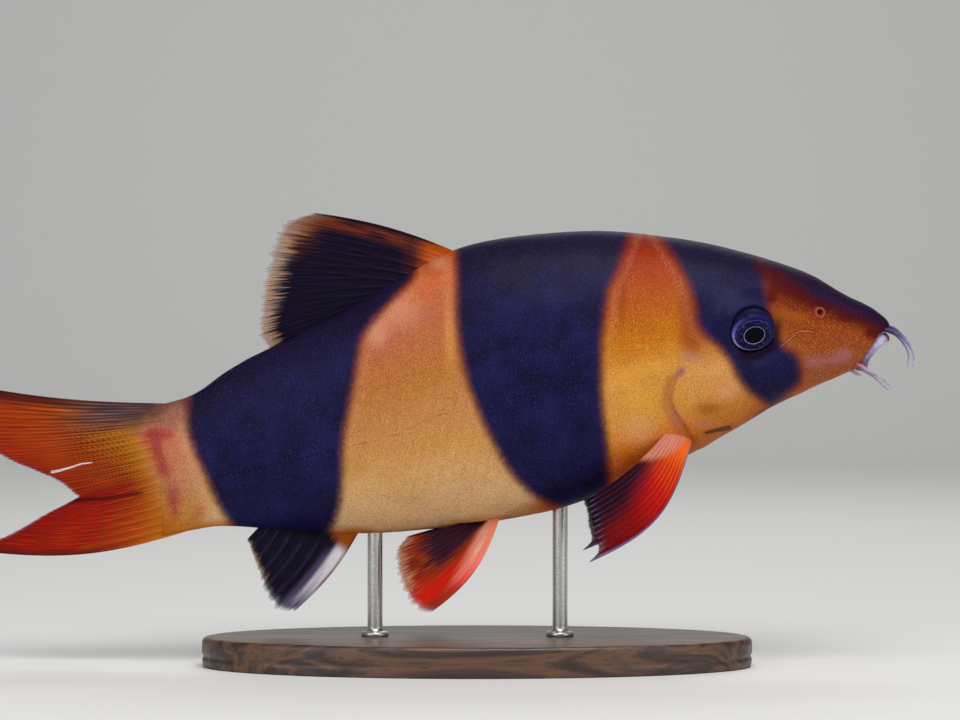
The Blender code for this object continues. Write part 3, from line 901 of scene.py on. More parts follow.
@dataclass(frozen=True)
class SkinFinish:
    """Golden skin under three blue-black bars, with a fine wet grain and painted glints."""

    grain: float = 0.22
    sparkle: float = 0.36
    ragged: float = 4.4
    fold_width: float = 12.0
    dash_length: float = 5.2
    relief: float = 0.035

    def golden(self, maps: SkinMaps) -> Tint:
        """The skin between the bars, from the belly to the back.

        Args:
            maps: what the colours follow.

        Returns:
            Its colour.
        """
        board, level, across, blotch = maps[:4]
        height = level + (blotch - 0.5) * 0.16
        rear = board.ramp(height, (0.0, "#CC7414"), (0.05, "#E8BC88"), (0.3, "#C8904E"), (0.45, "#BC8048"),
                          (0.6, "#B06C30"), (0.80, "#B06040"), (0.92, "#C06438"), (1.0, "#A44A18"))
        front = board.ramp(height, (0.0, "#CC4A00"), (0.10, "#D46404"), (0.22, "#D08C34"), (0.38, "#CC8C3C"),
                           (0.52, "#BC7010"), (0.64, "#B05C10"), (0.78, "#A4400A"), (0.88, "#962C04"),
                           (1.0, "#701800"))
        cheek = board.ramp(height, (0.0, "#A03C04"), (0.10, "#C47424"), (0.34, "#D09450"), (0.48, "#B87028"),
                           (0.60, "#9C4814"), (1.0, "#5C1804"))
        snout = board.ramp(height, (0.0, "#A84C14"), (0.16, "#9C5430"), (0.36, "#90441C"), (0.55, "#8C3A0C"),
                           (0.68, "#742404"), (0.80, "#500E0A"), (0.95, "#2C0810"))
        return stalk_colour(board).layered(
            (rear, across.step(192, 225)),
            (front, across.step(520, 560)),
            (cheek, across.step(672, 700)),
            (snout, across.step(752, 800)),
        )

    def patched(self, maps: SkinMaps) -> Tint:
        """The golden skin with its grain, painted glints, faint folds and coloured patches, some of them
        painted highlights.

        Args:
            maps: what the colours follow.

        Returns:
            Its colour.
        """
        board, level, across, blotch, fine, glints = maps
        on_stalk = past_stalk(board).step(-12.0, 20.0)
        pale = (1 - level.step(0.55, 0.95) * 0.75) * on_stalk
        leaning = across - level * 60.0 + blotch * 9.0
        folds = leaning.wave(self.fold_width).step(-0.4, 1.0)
        folds = folds * level.band(0.14, 0.56, 0.1) * across.band(400, 540, 40)
        speckled = fine + 0.5
        return self.golden(maps).layered(
            ("#4A1804", fine.step(0.54, 0.34) * on_stalk * 0.42),
            ("#F0BC70", fine.step(0.54, 0.70) * pale * 0.26),
            # painted glints: small highlights on the pale skin
            ("#FFE8B0", glints.step(0.74, 0.82) * pale * 0.5),
            ("#8A5628", folds * (blotch * 0.2)),
            # peach tint, partly painted highlight
            ("#DCA888", (board.mark("peach") * speckled).step(0.2, 1.4) * 0.38),
            ("#DCA23C", (board.mark("yellow") * speckled).step(0.2, 1.4) * 0.40),
            ("#8A3814", (board.mark("russet") * speckled).step(0.2, 1.2) * 0.72),
            ("#50080A", (board.mark("dark_red") * (blotch + 0.5)).step(0.15, 1.0) * 0.9),
            ("#98500F", board.mark("warm_gold").step(0.2, 1.0) * 0.6),
            ("#B07080", (board.mark("pink") * (fine + 0.3)).step(0.2, 1.2) * 0.5),
            ("#70386C", board.mark("gill_spot").step(0.1, 1.2) * 0.75),
            ("#8A4034", board.mark("gill_shade").step(0.1, 1.2) * 0.45),
        )

    def navy(self, maps: SkinMaps) -> Tint:
        """The blue-black of the bars, with pale specks, painted glints and dark pores.

        Args:
            maps: what the colours follow.

        Returns:
            Its colour.
        """
        board, level, _, _, fine, glints = maps
        cloudy = board.ramp(board.noise(6.0, 3.0), (0.25, "#100B26"), (0.5, "#15123A"), (0.8, "#1C1A4A"))
        return cloudy.layered(
            ("#140A20", level.step(0.72, 0.98) * 0.8),
            ("#4A4684", fine.step(0.56, 0.72) * 0.4),
            # painted glints: small highlights on the bars
            ("#706C9C", glints.step(0.76, 0.82) * 0.3),
            ("#050410", fine.step(0.45, 0.3) * 0.45),
        )

    def lined(self, maps: SkinMaps, barred: Tint, inside: Value) -> Tint:
        """The barred skin with its lateral line, painted shadow in the throat slit, lips with a painted
        highlight on top, painted shade in the mouth and round the eye sockets, and nostrils.

        Args:
            maps: what the colours follow.
            barred: the skin's colour so far.
            inside: how far a place is in a bar.

        Returns:
            Its colour.
        """
        board, level, across = maps[:3]
        dashes = across.wave(self.dash_length).step(-0.3, 0.6)
        line = board.mark("lateral").step(1.2, 0.4)
        groove = board.mark("groove")
        throat_slit_shade = board.mark("throat_slit_shade") - (across - 700.0) * 0.04
        # The lips' lilac, paler higher up: partly their own colour, partly a painted highlight on the upper
        # lip.
        lip_lilac_and_highlight = board.ramp(level * 0.7 + board.noise(0.8, 3.0) * 0.5, (0.1, "#5E3C48"), (0.4, "#80708C"),
                           (0.7, "#B4A8C8"), (1.0, "#DCD4E8"))
        return barred.layered(
            ("#020208", line * dashes * inside.step(2, 5)),
            ("#8A5018", line * inside.step(2, -2) * across.step(600, 560) * 0.45),
            ("#5A2410", groove.band(0.7, 2.2, 0.6) * 0.35),
            ("#D09078", groove.step(0.8, 0.1) * 0.5),
            # painted shadow along the throat slit
            ("#1C0608", throat_slit_shade.step(2.2, 0.6) * 0.75),
            (lip_lilac_and_highlight, board.mark("lip").step(0.2, 0.7)),
            ("#6E1410", board.mark("lip_red").step(0.15, 0.75) * 0.9),
            # painted shade, darker deeper in the mouth
            ("#2A0606", board.mark("mouth").step(0.2, 0.9)),
            ("#180406", board.mark("eye_shade").step(0.1, 1.0) * 0.88),
            ("#A85448", board.mark("nostril").step(0.3, 0.9) * 0.65),
        )

    def make(self) -> bpy.types.Material:
        """The material, with the bars' ragged edges laid over the golden skin.

        Returns:
            The material.
        """
        board = Board("loach_skin", Coat_Weight=0.025, Coat_Roughness=0.2, Specular_IOR_Level=0.05,
                      Subsurface_Weight=0.04, Subsurface_Radius=(1.0, 0.4, 0.2), Subsurface_Scale=1.2 * MM)
        maps = SkinMaps(board, board.mark("level"), board.mark("photo_x"), board.noise(9.0, 2.0),
                        board.noise(self.grain, 3.0), board.noise(self.sparkle, 1.0))
        uneven = maps.fine - 0.5
        ragged = (board.noise(1.0, 4.0) - 0.5) * self.ragged + (maps.blotch - 0.5) * 3.0
        inside = board.mark("head_bar").most(board.mark("middle_bar")).most(board.mark("rear_bar"))
        inside = inside + ragged + uneven * 14.0
        snout = board.mark("snout_band") + ragged * 1.4 + uneven * 8.0
        rim = inside.band(-13.0, -6.0, 3.5) * maps.fine.step(0.4, 0.65) * maps.across.step(745, 735)
        navy = self.navy(maps)
        barred = self.patched(maps).layered(
            ("#C8987C", rim * 0.2),
            ("#4E1424", inside.step(-8.5, 0.5) * 0.78),
            (navy, inside.step(-4.0, 5.0)),
            ("#40080E", snout.step(-18.0, 0.0) * 0.8),
            (navy, snout.step(-5.0, 8.0) * 0.85),
        )
        colour = self.lined(maps, barred, inside)
        return board.wear(colour, uneven * 0.3 + 0.46, maps.fine, self.relief)


class FinMaps(NamedTuple):
    """What a fin's colours follow: its rays' numbers from the leading one, the reach from 0 at the roots to
    1 at the tips, noise drawn out along the rays, and how far that is from its middle."""

    board: Board
    ray: Value
    reach: Value
    fibre: Value
    uneven: Value


@dataclass(frozen=True)
class FinFinish:
    """A thin membrane with fine rays. Each fin's own class paints it."""

    name: str
    hairs: float = 8.0
    hair_dark: float = 0.45
    web_solid: float = 0.35
    margin: float = 0.88
    hair_start: tuple[float, float] = (0.05, 0.3)
    relief: float = 0.06

    def colour(self, maps: FinMaps) -> Tint:
        """The membrane's colour.

        Args:
            maps: what the colours follow.

        Returns:
            The colour.
        """
        raise NotImplementedError

    def make(self) -> bpy.types.Material:
        """The material, with dark gaps between the rays that turn see-through at the fin's margin.

        Returns:
            The material.
        """
        board = Board(self.name, Coat_Weight=0.03, Coat_Roughness=0.25, Specular_IOR_Level=0.05,
                      Subsurface_Weight=0.05, Subsurface_Radius=(1.0, 0.35, 0.2), Subsurface_Scale=0.8 * MM)
        ray, reach, ridge = board.mark("ray"), board.mark("reach"), board.mark("ridge")
        fibre = board.noise(1.0, 3.0, board.pair(ray * 9.0, reach * 5.0))
        hair = ray.wave(1 / self.hairs) * 0.5 + 0.5
        between = (1 - hair) * (1 - ridge * 0.6) * reach.step(*self.hair_start)
        colour = self.colour(FinMaps(board, ray, reach, fibre, fibre - 0.5))
        colour = colour.over("#070309", between * self.hair_dark * (fibre * 0.8 + 0.6))
        gaps = reach.step(self.margin, 0.98) * (1 - hair.step(0.15, 0.75))
        solid = 1 - gaps * (1 - self.web_solid)
        height = hair * 0.5 + ridge * 0.5 + fibre * 0.3
        return board.wear(colour, fibre * 0.2 + 0.42, height, self.relief, solid)


class DorsalFinish(FinFinish):
    """Blue-black, orange at its front base, with a pale translucent margin."""

    def colour(self, maps: FinMaps) -> Tint:
        """The membrane's colour.

        Args:
            maps: what the colours follow.

        Returns:
            The colour.
        """
        board, ray, reach, fibre, uneven = maps
        black = board.ramp(fibre, (0.3, "#080412"), (0.6, "#120A24"), (0.85, "#261A38"))
        streaks = (ray + uneven * 0.8).band(0.35, 1.5, 0.35) * reach.step(0.05, 0.3)
        front = 1 - reach / 0.32 - ray / 4.2 + uneven * 0.5
        salmon = (front - ray * 0.05 + reach * 0.6).step(0.1, 0.5) * ray.step(0.7, 1.8)
        corner = (reach + uneven * 0.3).step(0.74, 0.96) * ray.step(4.6, 1.6)
        pale = (reach + uneven * 0.5).step(0.86, 0.99) * ray.step(0.8, 3.0)
        return black.layered(
            ("#7E3210", streaks * fibre.step(0.3, 0.6) * 0.8),
            ("#4A1A20", front.step(-0.5, 0.0) * 0.8),
            ("#B04A08", front.step(-0.15, 0.25)),
            ("#CC7C58", salmon * (fibre * 0.7 + 0.6)),
            ("#8E4414", corner * 0.75),
            ("#BC8C68", pale * 0.8),
            ("#1A0A14", ray.step(0.35, 0.15) * reach.step(0.1, 0.3)),
        )


class AnalFinish(FinFinish):
    """Blue-black, with white leading rays over an orange base and a pale fringe, and painted shadow at the
    root.
    """

    def colour(self, maps: FinMaps) -> Tint:
        """The membrane's colour.

        Args:
            maps: what the colours follow.

        Returns:
            The colour.
        """
        board, ray, reach, fibre, uneven = maps
        black = board.ramp(fibre, (0.3, "#0A0812"), (0.6, "#161226"), (0.85, "#2E2440"))
        violet = ray.wave(1.0).step(0.5, 1.0) * reach.step(0.1, 0.4)
        milk = board.ramp(reach + uneven * 0.5, (0.3, "#FFF4F6"), (0.6, "#DCD0DC"), (1.0, "#4A4666"))
        base = 1 - reach / 0.30 - ray / 3.0 + uneven * 0.4
        pale = (reach + uneven * 0.4).step(0.88, 1.0) * ray.step(2.5, 4.5)
        return black.layered(
            ("#3A2C54", violet * 0.4),
            ("#6A5E84", ray.band(0.8, 1.3, 0.3) * reach.step(0.2, 0.4) * 0.6),
            (milk, ray.band(-0.5, 0.85, 0.2) * reach.step(0.12, 0.3)),
            ("#B45A10", base.step(-0.1, 0.3)),
            ("#6A2020", ray.step(0.3, 0.05) * reach.band(0.1, 0.7, 0.1) * 0.7),
            ("#B08A60", pale * 0.6),
            # painted shadow at the root, under the belly
            ("#040208", reach.step(0.26, 0.14) * ray.step(1.6, 2.6)),
        )


class PelvicFinish(FinFinish):
    """Salmon and red at the front with a painted highlight, dark purple in the middle and orange towards a
    pale fringe, with painted shadow at the root.
    """

    def colour(self, maps: FinMaps) -> Tint:
        """The membrane's colour.

        Args:
            maps: what the colours follow.

        Returns:
            The colour.
        """
        board, ray, reach, fibre, uneven = maps
        orange = board.ramp(fibre, (0.25, "#3A0C08"), (0.5, "#8A2C08"), (0.8, "#C05810"))
        low = (ray + uneven * 1.5).step(3.8, 2.6) * reach.step(0.55, 0.8)
        dark = (ray + uneven * 1.2 + reach * 0.9).band(3.5, 8.5, 0.6) * (reach + uneven * 0.5).step(0.86, 0.6)
        red = (ray + uneven * 0.8).step(2.9, 1.8) * reach.step(0.12, 0.35)
        # salmon of the leading rays near the root, whose palest flecks are a painted white-pink highlight
        light = board.ramp(fibre, (0.3, "#E87850"), (0.5, "#F09C80"), (0.75, "#FBD0C0"))
        pink = board.ramp(reach, (0.1, "#FF9068"), (0.4, "#FF8870"), (0.58, "#F45050"), (0.72, "#B42410"),
                          (0.9, "#98200A"))
        pale = (reach + uneven * 0.4).step(0.86, 1.0) * ray.step(1.8, 3.4)
        return orange.layered(
            ("#AC2606", low * 0.8),
            ("#1C0C24", dark * 0.9),
            ("#D01C08", red * 0.92),
            (light, (ray + reach * 3.6 + uneven * 0.8).step(4.0, 2.6)),
            (pink, (ray + uneven * 0.7).step(1.5, 0.5) * (fibre * 0.5 + 0.7)),
            ("#CC9474", pale * 0.8),
            # painted shadow at the root, under the belly
            ("#1A0608", reach.step(0.20, 0.10) * ray.step(2.2, 3.2) * 0.9),
        )


class PectoralFinish(FinFinish):
    """Scarlet from a pink fleshy root, maroon with violet rays behind, and a lilac leading ray."""

    def colour(self, maps: FinMaps) -> Tint:
        """The membrane's colour.

        Args:
            maps: what the colours follow.

        Returns:
            The colour.
        """
        board, ray, reach, fibre, uneven = maps
        scarlet = board.ramp(reach + uneven * 0.2, (0.1, "#FA7428"), (0.28, "#F04A10"), (0.46, "#D41804"),
                             (0.65, "#A80606"), (0.95, "#6C0408"))
        rear = (ray / 12.0 + reach * 0.6 + uneven * 0.25).step(0.72, 1.2)
        rays = ray.wave(1.0)
        lead = ray - reach * 0.5
        flesh = board.ramp(fibre, (0.3, "#D06040"), (0.5, "#E08A70"), (0.75, "#EEB09C"))
        return scarlet.layered(
            ("#16020A", rear * 0.95),
            ("#4C2A5C", rays.step(0.7, 1.0) * reach.step(0.25, 0.5) * rear.step(0.1, 0.6) * 0.7),
            ("#5A0404", rays.step(-0.6, -1.0) * reach.step(0.12, 0.3) * (1 - rear) * 0.6),
            ("#8A74A8", lead.step(0.5, 0.15) * reach.step(0.03, 0.12) * 0.9),
            ("#801830", lead.band(0.35, 0.7, 0.12) * reach.step(0.2, 0.5) * 0.6),
            ("#5C6494", rays.step(0.5, 1.0) * reach.step(0.93, 0.98) * 0.7),
            (flesh, (reach - (ray - 1.6) * 0.040 + uneven * 0.14).step(0.05, -0.05)),
        )


class TailFinish(FinFinish):
    """Olive gold at its root, then orange to red, with a dark upper root and a thin pale edge in the fork."""

    def colour(self, maps: FinMaps) -> Tint:
        """The membrane's colour.

        Args:
            maps: what the colours follow.

        Returns:
            The colour.
        """
        board, ray, reach, fibre, uneven = maps
        across, down = board.mark("photo_x"), board.mark("photo_y")
        place = reach + uneven * 0.25
        upper = board.ramp(place, (0.1, "#B87818"), (0.32, "#B0640C"), (0.55, "#A84008"), (1.0, "#9C2404"))
        lower = board.ramp(place, (0.1, "#B07018"), (0.3, "#AC4406"), (0.55, "#A81C00"), (1.0, "#900C00"))
        bright = board.ramp(reach, (0.2, "#E09028"), (0.5, "#DC6010"), (0.9, "#C83C10"))
        edge_dark = ray.step(0.8, 0.2) + ray.step(16.0, 17.0) * 0.8
        crown = across.band(52, 172, 24) * (ray + uneven * 2.4).step(3.4, 1.2)
        hair = ray.wave(0.25) * 0.2 + fibre
        crown_tone = board.ramp(hair, (0.3, "#1E1828"), (0.55, "#382C40"), (0.9, "#7A5C60"))
        rungs = (reach * 210.0 + fibre * 2.0).apply("COSINE").step(-0.1, 0.7)
        between = 1 - ray.wave(0.5).step(-0.2, 0.8)
        hatch = across.band(70, 150, 14) * down.band(430, 505, 16)
        scar = board.mark("scar") + (across - 52.0) * 0.018
        fork = ray.band(2.5, 15.0, 1.0) * reach.step(0.98, 0.995)
        return upper.layered(
            (lower, ray.step(7.0, 10.0)),
            ("#4A0C06", fibre.step(0.46, 0.30) * reach.step(0.1, 0.3) * 0.55),
            (bright, fibre.step(0.52, 0.68) * reach.step(0.1, 0.35) * 0.5),
            ("#2A0818", edge_dark * reach.step(0.2, 0.5) * 0.8),
            (crown_tone, crown * across.step(36, 110) * 0.9),
            ("#1C1016", rungs * between * hatch * 0.6),
            ("#3C0610", board.mark("seam").step(3.2, 0.6) * 0.75),
            ("#A02020", scar.step(3.0, 1.5) * 0.7),
            ("#E8D4CC", scar.step(1.7, 0.9)),
            ("#B8B0C4", fork * 0.7),
            (stalk_colour(board), (past_stalk(board) + uneven * 26.0).step(-22.0, 10.0)),
        )


# Pieces of the fish


@dataclass
class Eye:
    """A drum-like eyeball with a flat, clear front that looks a little down."""

    form: FishForm
    radius: float = 4.4
    place: tuple[float, float] = (119.6, 1.2)
    depth: float = 0.6
    tilt: float = math.radians(37)
    rise: float = 0.46
    fullness: float = 3.4
    # the turn round the eye where the rings' painted reflection is brightest
    ring_highlight_turn: float = math.radians(-50)
    socket_shift: float = 0.45
    socket_depth: float = 2.6
    sides: int = 96
    rings: int = 72
    pole: float = 0.02

    def frame(self, side: Side) -> tuple[Array, Array]:
        """The eyeball's centre and the way that it looks.

        Args:
            side: its side of the fish.

        Returns:
            The centre and the way.
        """
        point, outward = self.form.skin_point(*self.place, side)
        looks = np.array([0.0, side.value * math.cos(self.tilt), -math.sin(self.tilt)])
        return point - outward * self.depth, looks

    def away(self, points: Array, side: Side) -> Array:
        """How far points of the skin are outside the socket, seen straight on.

        Args:
            points: the skin's points.
            side: the eye's side.

        Returns:
            Distances, less than 0 inside it.
        """
        _, outward = self.form.skin_point(*self.place, side)
        centre, looks = self.frame(side)
        offset = points - centre - looks * self.socket_shift
        return np.linalg.norm(offset - (offset @ outward)[..., None] * outward, axis=-1) - self.radius

    def finish(self) -> bpy.types.Material:
        """A black pupil in a pale ring, a dark blue iris and a bluish rim, with a painted reflection that
        brightens both rings on one side.

        Returns:
            The material.
        """
        board = Board("loach_eye", Coat_Weight=0.04, Coat_Roughness=0.04, Roughness=0.4,
                      Specular_IOR_Level=0.03)
        out, turn, front = board.mark("out"), board.mark("turn"), board.mark("front")
        flecks = board.noise(0.45, 3.0)
        cloud = board.noise(0.8, 3.0, board.pair(turn * 3.0, out * 1.2))
        iris = board.ramp(cloud, (0.3, "#060724"), (0.55, "#0E1240"), (0.8, "#302C60"))
        edge = out + (board.noise(0.8, 1.0) - 0.5) * 0.16
        # painted reflection: the rings grow brighter towards one turn round the eye
        rear = (turn - self.ring_highlight_turn).apply("COSINE") * 0.5 + 0.5
        ring = board.ramp(rear * (flecks * 0.6 + 0.7), (0.2, "#1E1B4A"), (0.5, "#4A4690"), (0.75, "#7C7AC4"),
                          (1.0, "#C8C8F0"))
        side_wall = board.ramp(flecks, (0.3, "#0C0A22"), (0.6, "#1A163A"), (0.8, "#322C58"))
        return board.wear(iris.layered(
            ("#7A4E34", flecks.step(0.56, 0.68) * out.band(2.3, 3.4, 0.3) * 0.5),
            # pale pupil ring, brighter on one side as painted reflection
            ("#D0D4E8", edge.band(2.03, 2.10, 0.055) * (rear * 0.5 + 0.5)),
            ("#010110", out.step(1.97, 1.88)),
            (ring, edge.band(3.82, 4.34, 0.14) * 0.92),
            ("#5652A0", edge.band(3.36, 3.48, 0.14) * (flecks * 0.6 + 0.25)),
            (side_wall, front.step(0.26, 0.16)),
        ))

    def build(self, side: Side, finish: bpy.types.Material) -> bpy.types.Object:
        """One eyeball.

        Args:
            side: its side of the fish.
            finish: its material.

        Returns:
            The eyeball.
        """
        turns = np.linspace(0, 2 * math.pi, self.sides, endpoint=False)
        slope = np.linspace(self.pole, math.pi - self.pole, self.rings)
        height, out = np.cos(slope), np.sin(slope)
        power = 2 / self.fullness
        front = np.where(height > 0, self.rise * np.abs(height) ** power, height) * self.radius
        radius = np.where(height > 0, out**power, out) * self.radius
        centre, looks = self.frame(side)
        up = unit(np.array([0, 0, 1.0]) - looks * looks[2])
        spread = np.outer(np.cos(turns), np.cross(looks, up)) + np.outer(np.sin(turns), up)
        rings = centre + front[:, None, None] * looks + radius[:, None, None] * spread
        ends = centre + np.array([[self.radius * self.rise], [-self.radius]]) * looks
        points, faces = capped(rings, ends)
        from_rear = turns if side is Side.RIGHT else math.pi - turns
        marks = {"out": np.append(np.repeat(radius, self.sides), (0, 0)),
                 "turn": np.append(np.tile(from_rear, self.rings), (0, 0)),
                 "front": np.append(np.repeat(front / self.radius, self.sides), (self.rise, -1))}
        name = side.piece("eye")
        made = make_piece(f"loach_{name}", self.form.posed(points) * MM, faces, finish, marks)
        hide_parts(name)
        return made


@dataclass
class Skin:
    """One skin over head, trunk and tail stalk, with lips, nostrils, eye folds and the gill covers' rims."""

    form: FishForm
    eye: Eye
    columns: int = 360
    trunk_step: float = 0.45
    head_step: float = 0.15
    head_start: tuple[float, float] = (3.0, 11.0)
    gill_step: float = 0.11
    gill_reach: float = 1.6
    gill_drop: float = 0.26
    gill_top: tuple[float, float] = (-2.4, -5.0)
    gill_foot: tuple[float, float] = (-16.0, -20.0)
    fold_height: float = 2.9
    fold_sink: float = 1.5
    fold_width: float = 2.9
    nostril_place: tuple[float, float] = (133.6, 1.4)
    nostril_radius: float = 0.9
    nostril_rim: float = 0.32
    nostril_depth: float = 0.9
    snout_start: float = 14.0
    snout_end: float = 16.0
    chin_short: float = 0.8
    mouth_top: tuple[float, float] = (145.2, -5.9)
    mouth_chin: tuple[float, float] = (139.6, -11.0)
    mouth_half_width: float = 2.55
    mouth_depth: float = 3.2
    lip_radius: float = 1.0
    lip_start: float = math.radians(-55)
    lip_end: float = math.radians(205)
    tail_taper: float = 4.0
    tail_slim: float = 0.03
    far: float = 99.0

    bars: dict[str, tuple[Pixels, Pixels]] = field(default_factory=lambda: {
        "head_bar": (
            ((667, 242), (685, 272), (696, 299), (702, 327), (719, 344), (731, 361), (739, 377), (753, 393),
             (768, 403)),
            ((764, 262), (763, 283), (765, 298), (770, 325), (783, 347), (794, 357), (799, 371), (798, 382),
             (789, 391)),
        ),
        "middle_bar": (
            ((457, 249), (458, 282), (459, 323), (463, 353), (470, 384), (482, 415), (490, 433), (511, 470),
             (533, 493), (548, 502), (559, 505)),
            ((628, 235), (616, 268), (606, 292), (601, 327), (600, 364), (601, 404), (606, 445), (608, 480)),
        ),
        "rear_bar": (
            ((190, 401), (189, 426), (197, 453), (206, 473), (214, 493), (222, 509), (231, 522), (246, 540)),
            ((424, 247), (410, 262), (412, 276), (396, 294), (373, 319), (361, 337), (356, 358), (351, 384),
             (346, 415), (341, 445), (340, 480), (339, 503), (333, 522), (327, 532)),
        ),
    })
    snout_band: Pixels = ((764, 266), (792, 281), (814, 296), (834, 305), (851, 313), (869, 321), (882, 328),
                          (893, 333))
    snout_band_height: float = 60.0
    lateral_line: Pixels = ((592, 381), (573, 384), (526, 395), (461, 411), (433, 417), (400, 433),
                            (363, 443), (235, 474), (216, 474))
    groove: Pixels = ((783, 346), (790, 340), (798, 332), (806, 331), (814, 332))
    # the line of the throat slit, along which a painted shadow is laid
    throat_slit_shade: Pixels = ((706, 433), (716, 430.5), (729, 428))
    bar_run_on: float = 40.0
    marks: dict[str, Array] = field(default_factory=dict)

    def ring_places(self) -> Array:
        """Places of the rings counted in sections, close together on the head and at the gill covers.

        Returns:
            The places, from the rear.
        """
        knots = self.form.knots()
        gill = knots[self.form.gill_section]
        head_first, head_full = self.head_start
        along, places = 0.0, []
        while along < knots[-2]:
            places.append(along)
            head = float(ease(along, gill + head_first, gill + head_full))
            step = self.trunk_step + (self.head_step - self.trunk_step) * head
            along += step + (self.gill_step - step) * float(bell(along, gill, self.gill_reach))
        places.append(knots[-2])
        return np.interp(places, knots, np.arange(len(knots)))

    def mouth_frame(self) -> tuple[Array, Array, Array, float]:
        """The middle of the mouth, the way up its opening, the way out of it and its half height.

        Returns:
            The four of them.
        """
        top = np.array([self.mouth_top[0], 0, self.mouth_top[1]])
        chin = np.array([self.mouth_chin[0], 0, self.mouth_chin[1]])
        up = unit(top - chin)
        return (top + chin) / 2, up, np.array([up[2], 0, -up[0]]), float(np.linalg.norm(top - chin)) / 2

    def mouth_rings(self, turns: Array, border: Array) -> tuple[Array, Array, Array]:
        """The lips and the hollow behind them.

        Args:
            turns: the angle of each column.
            border: the last ring of the snout.

        Returns:
            Rings of points, the angle round the lip of each ring, and how deep in the mouth each ring is.
        """
        middle, up, out, half_height = self.mouth_frame()
        upper = bell(angle_from(turns, 0), 0, 0.95)
        from_chin = angle_from(turns, math.pi)
        lower = bell(from_chin, 0.5, 0.32)
        cleft = bell(from_chin, 0, 0.13)
        across = np.outer(np.sin(turns), [0, 1, 0]) * self.mouth_half_width
        away = np.outer(np.cos(turns), up) * half_height + across
        stand = -0.35 + 1.05 * upper + 0.2 * lower
        centre = middle + away * (0.95 - 0.05 * upper)[:, None] + stand[:, None] * out
        wrinkles = 0.035 * np.sin(turns * 31 + 2 * np.sin(turns * 7))
        radius = self.lip_radius + 0.28 * upper + 0.32 * lower - 0.42 * cleft
        outward = unit(away)
        rings, angles, depths = [], [], []
        start_way = outward * math.cos(self.lip_start) + out * math.sin(self.lip_start)
        first = centre + radius[:, None] * start_way
        bridge_start, bridge_steps, bridge_dip = math.radians(-90), 7, 0.35
        for k in range(1, bridge_steps):
            share = k / bridge_steps
            dip = math.sin(math.pi * share) * bridge_dip
            rings.append(border + (first - border) * share - outward * dip)
            angles.append(bridge_start + (self.lip_start - bridge_start) * share)
            depths.append(0.0)
        inner_start, lip_steps = math.radians(140), 30
        for angle in np.linspace(self.lip_start, self.lip_end, lip_steps):
            thick = radius * (1 + wrinkles * ease(angle, self.lip_start, self.lip_start + 0.9))
            rings.append(centre + thick[:, None] * (outward * math.cos(angle) + out * math.sin(angle)))
            angles.append(angle)
            depths.append(float(ease(angle, inner_start, self.lip_end)))
        inner = rings[-1]
        back = middle - out * self.mouth_depth
        hollow_steps, hollow_end = 14, 0.94
        for share in np.linspace(0, hollow_end, hollow_steps)[1:]:
            flat = middle + (inner - middle) * math.cos(share * math.pi / 2)
            flat = flat - np.outer((flat - middle) @ out, out) * share
            rings.append(flat * (1 - share**2) + (back + (flat - middle) * 0.3) * share**2)
            angles.append(self.lip_end)
            depths.append(1.0)
        return np.array(rings), np.array(angles), np.array(depths)

    def gill_relief(self, from_rim: Array, height: Array) -> Array:
        """The gill covers' rims and the drop behind them, whose colours it marks.

        Args:
            from_rim: how far ahead of the rim each point of the body is.
            height: how high each is over the body's axis.

        Returns:
            Heights in millimetres.
        """
        rim = ease(height, *self.gill_top) * (1 - 0.75 * ease(height, *self.gill_foot))
        behind = ease(from_rim, 0.35, -0.65) * np.exp(np.minimum(from_rim, 0) / 7.0)
        self.marks["gill_shade"] = rim * (bell(from_rim, -1.3, 1.5) + 0.7 * bell(from_rim, -0.2, 0.5))
        self.marks["gill_spot"] = bell(height, -3.8, 1.2) * bell(from_rim, 0.5, 1.1)
        lip = 0.1 * bell(from_rim, 1.1, 0.9) - 0.1 * bell(from_rim, -0.7, 0.6)
        return rim * (lip - self.gill_drop * behind)

    def eye_relief(self, points: Array) -> Array:
        """The folds round both eyes and the sockets inside them, whose shade it marks.

        Args:
            points: the plain body's points.

        Returns:
            Heights in millimetres.
        """
        folded, shade = np.zeros(points.shape[:-1]), np.zeros(points.shape[:-1])
        edge = 0.2
        for side in BOTH_SIDES:
            gap = np.where(points[..., 1] * side.value > 0, self.eye.away(points, side), self.far)
            centre, _ = self.eye.frame(side)
            ahead, raised = points[..., 0] - centre[0], points[..., 2] - centre[2]
            above, below = ease(raised, -3.0, 4.0), ease(raised - 0.5 * ahead, 0.5, -3.5)
            around = bell(np.maximum(gap, edge), edge, self.fold_width)
            folded += (self.fold_height * above - self.fold_sink) * around
            folded += 0.12 * bell(gap, 0.5, 0.4) - self.eye.socket_depth * ease(gap, 0.15, -0.9)
            shade += 0.8 * ease(gap, 0.3, -0.1) + 0.8 * bell(gap, 0.5, 1.5) * below
        self.marks["eye_shade"] = shade
        return folded

    def nostril_relief(self, points: Array) -> Array:
        """The raised rims and the pits of both nostrils, whose rims it marks.

        Args:
            points: the plain body's points.

        Returns:
            Heights in millimetres.
        """
        raised, rims = np.zeros(points.shape[:-1]), np.zeros(points.shape[:-1])
        for side in BOTH_SIDES:
            middle, _ = self.form.skin_point(*self.nostril_place, side)
            away = np.linalg.norm(points - middle, axis=-1)
            rims += bell(away, self.nostril_radius, 0.3)
            raised += self.nostril_rim * bell(away, self.nostril_radius, 0.26)
            raised -= self.nostril_depth * ease(away, 0.62, 0.3)
        self.marks["nostril"] = rims
        return raised

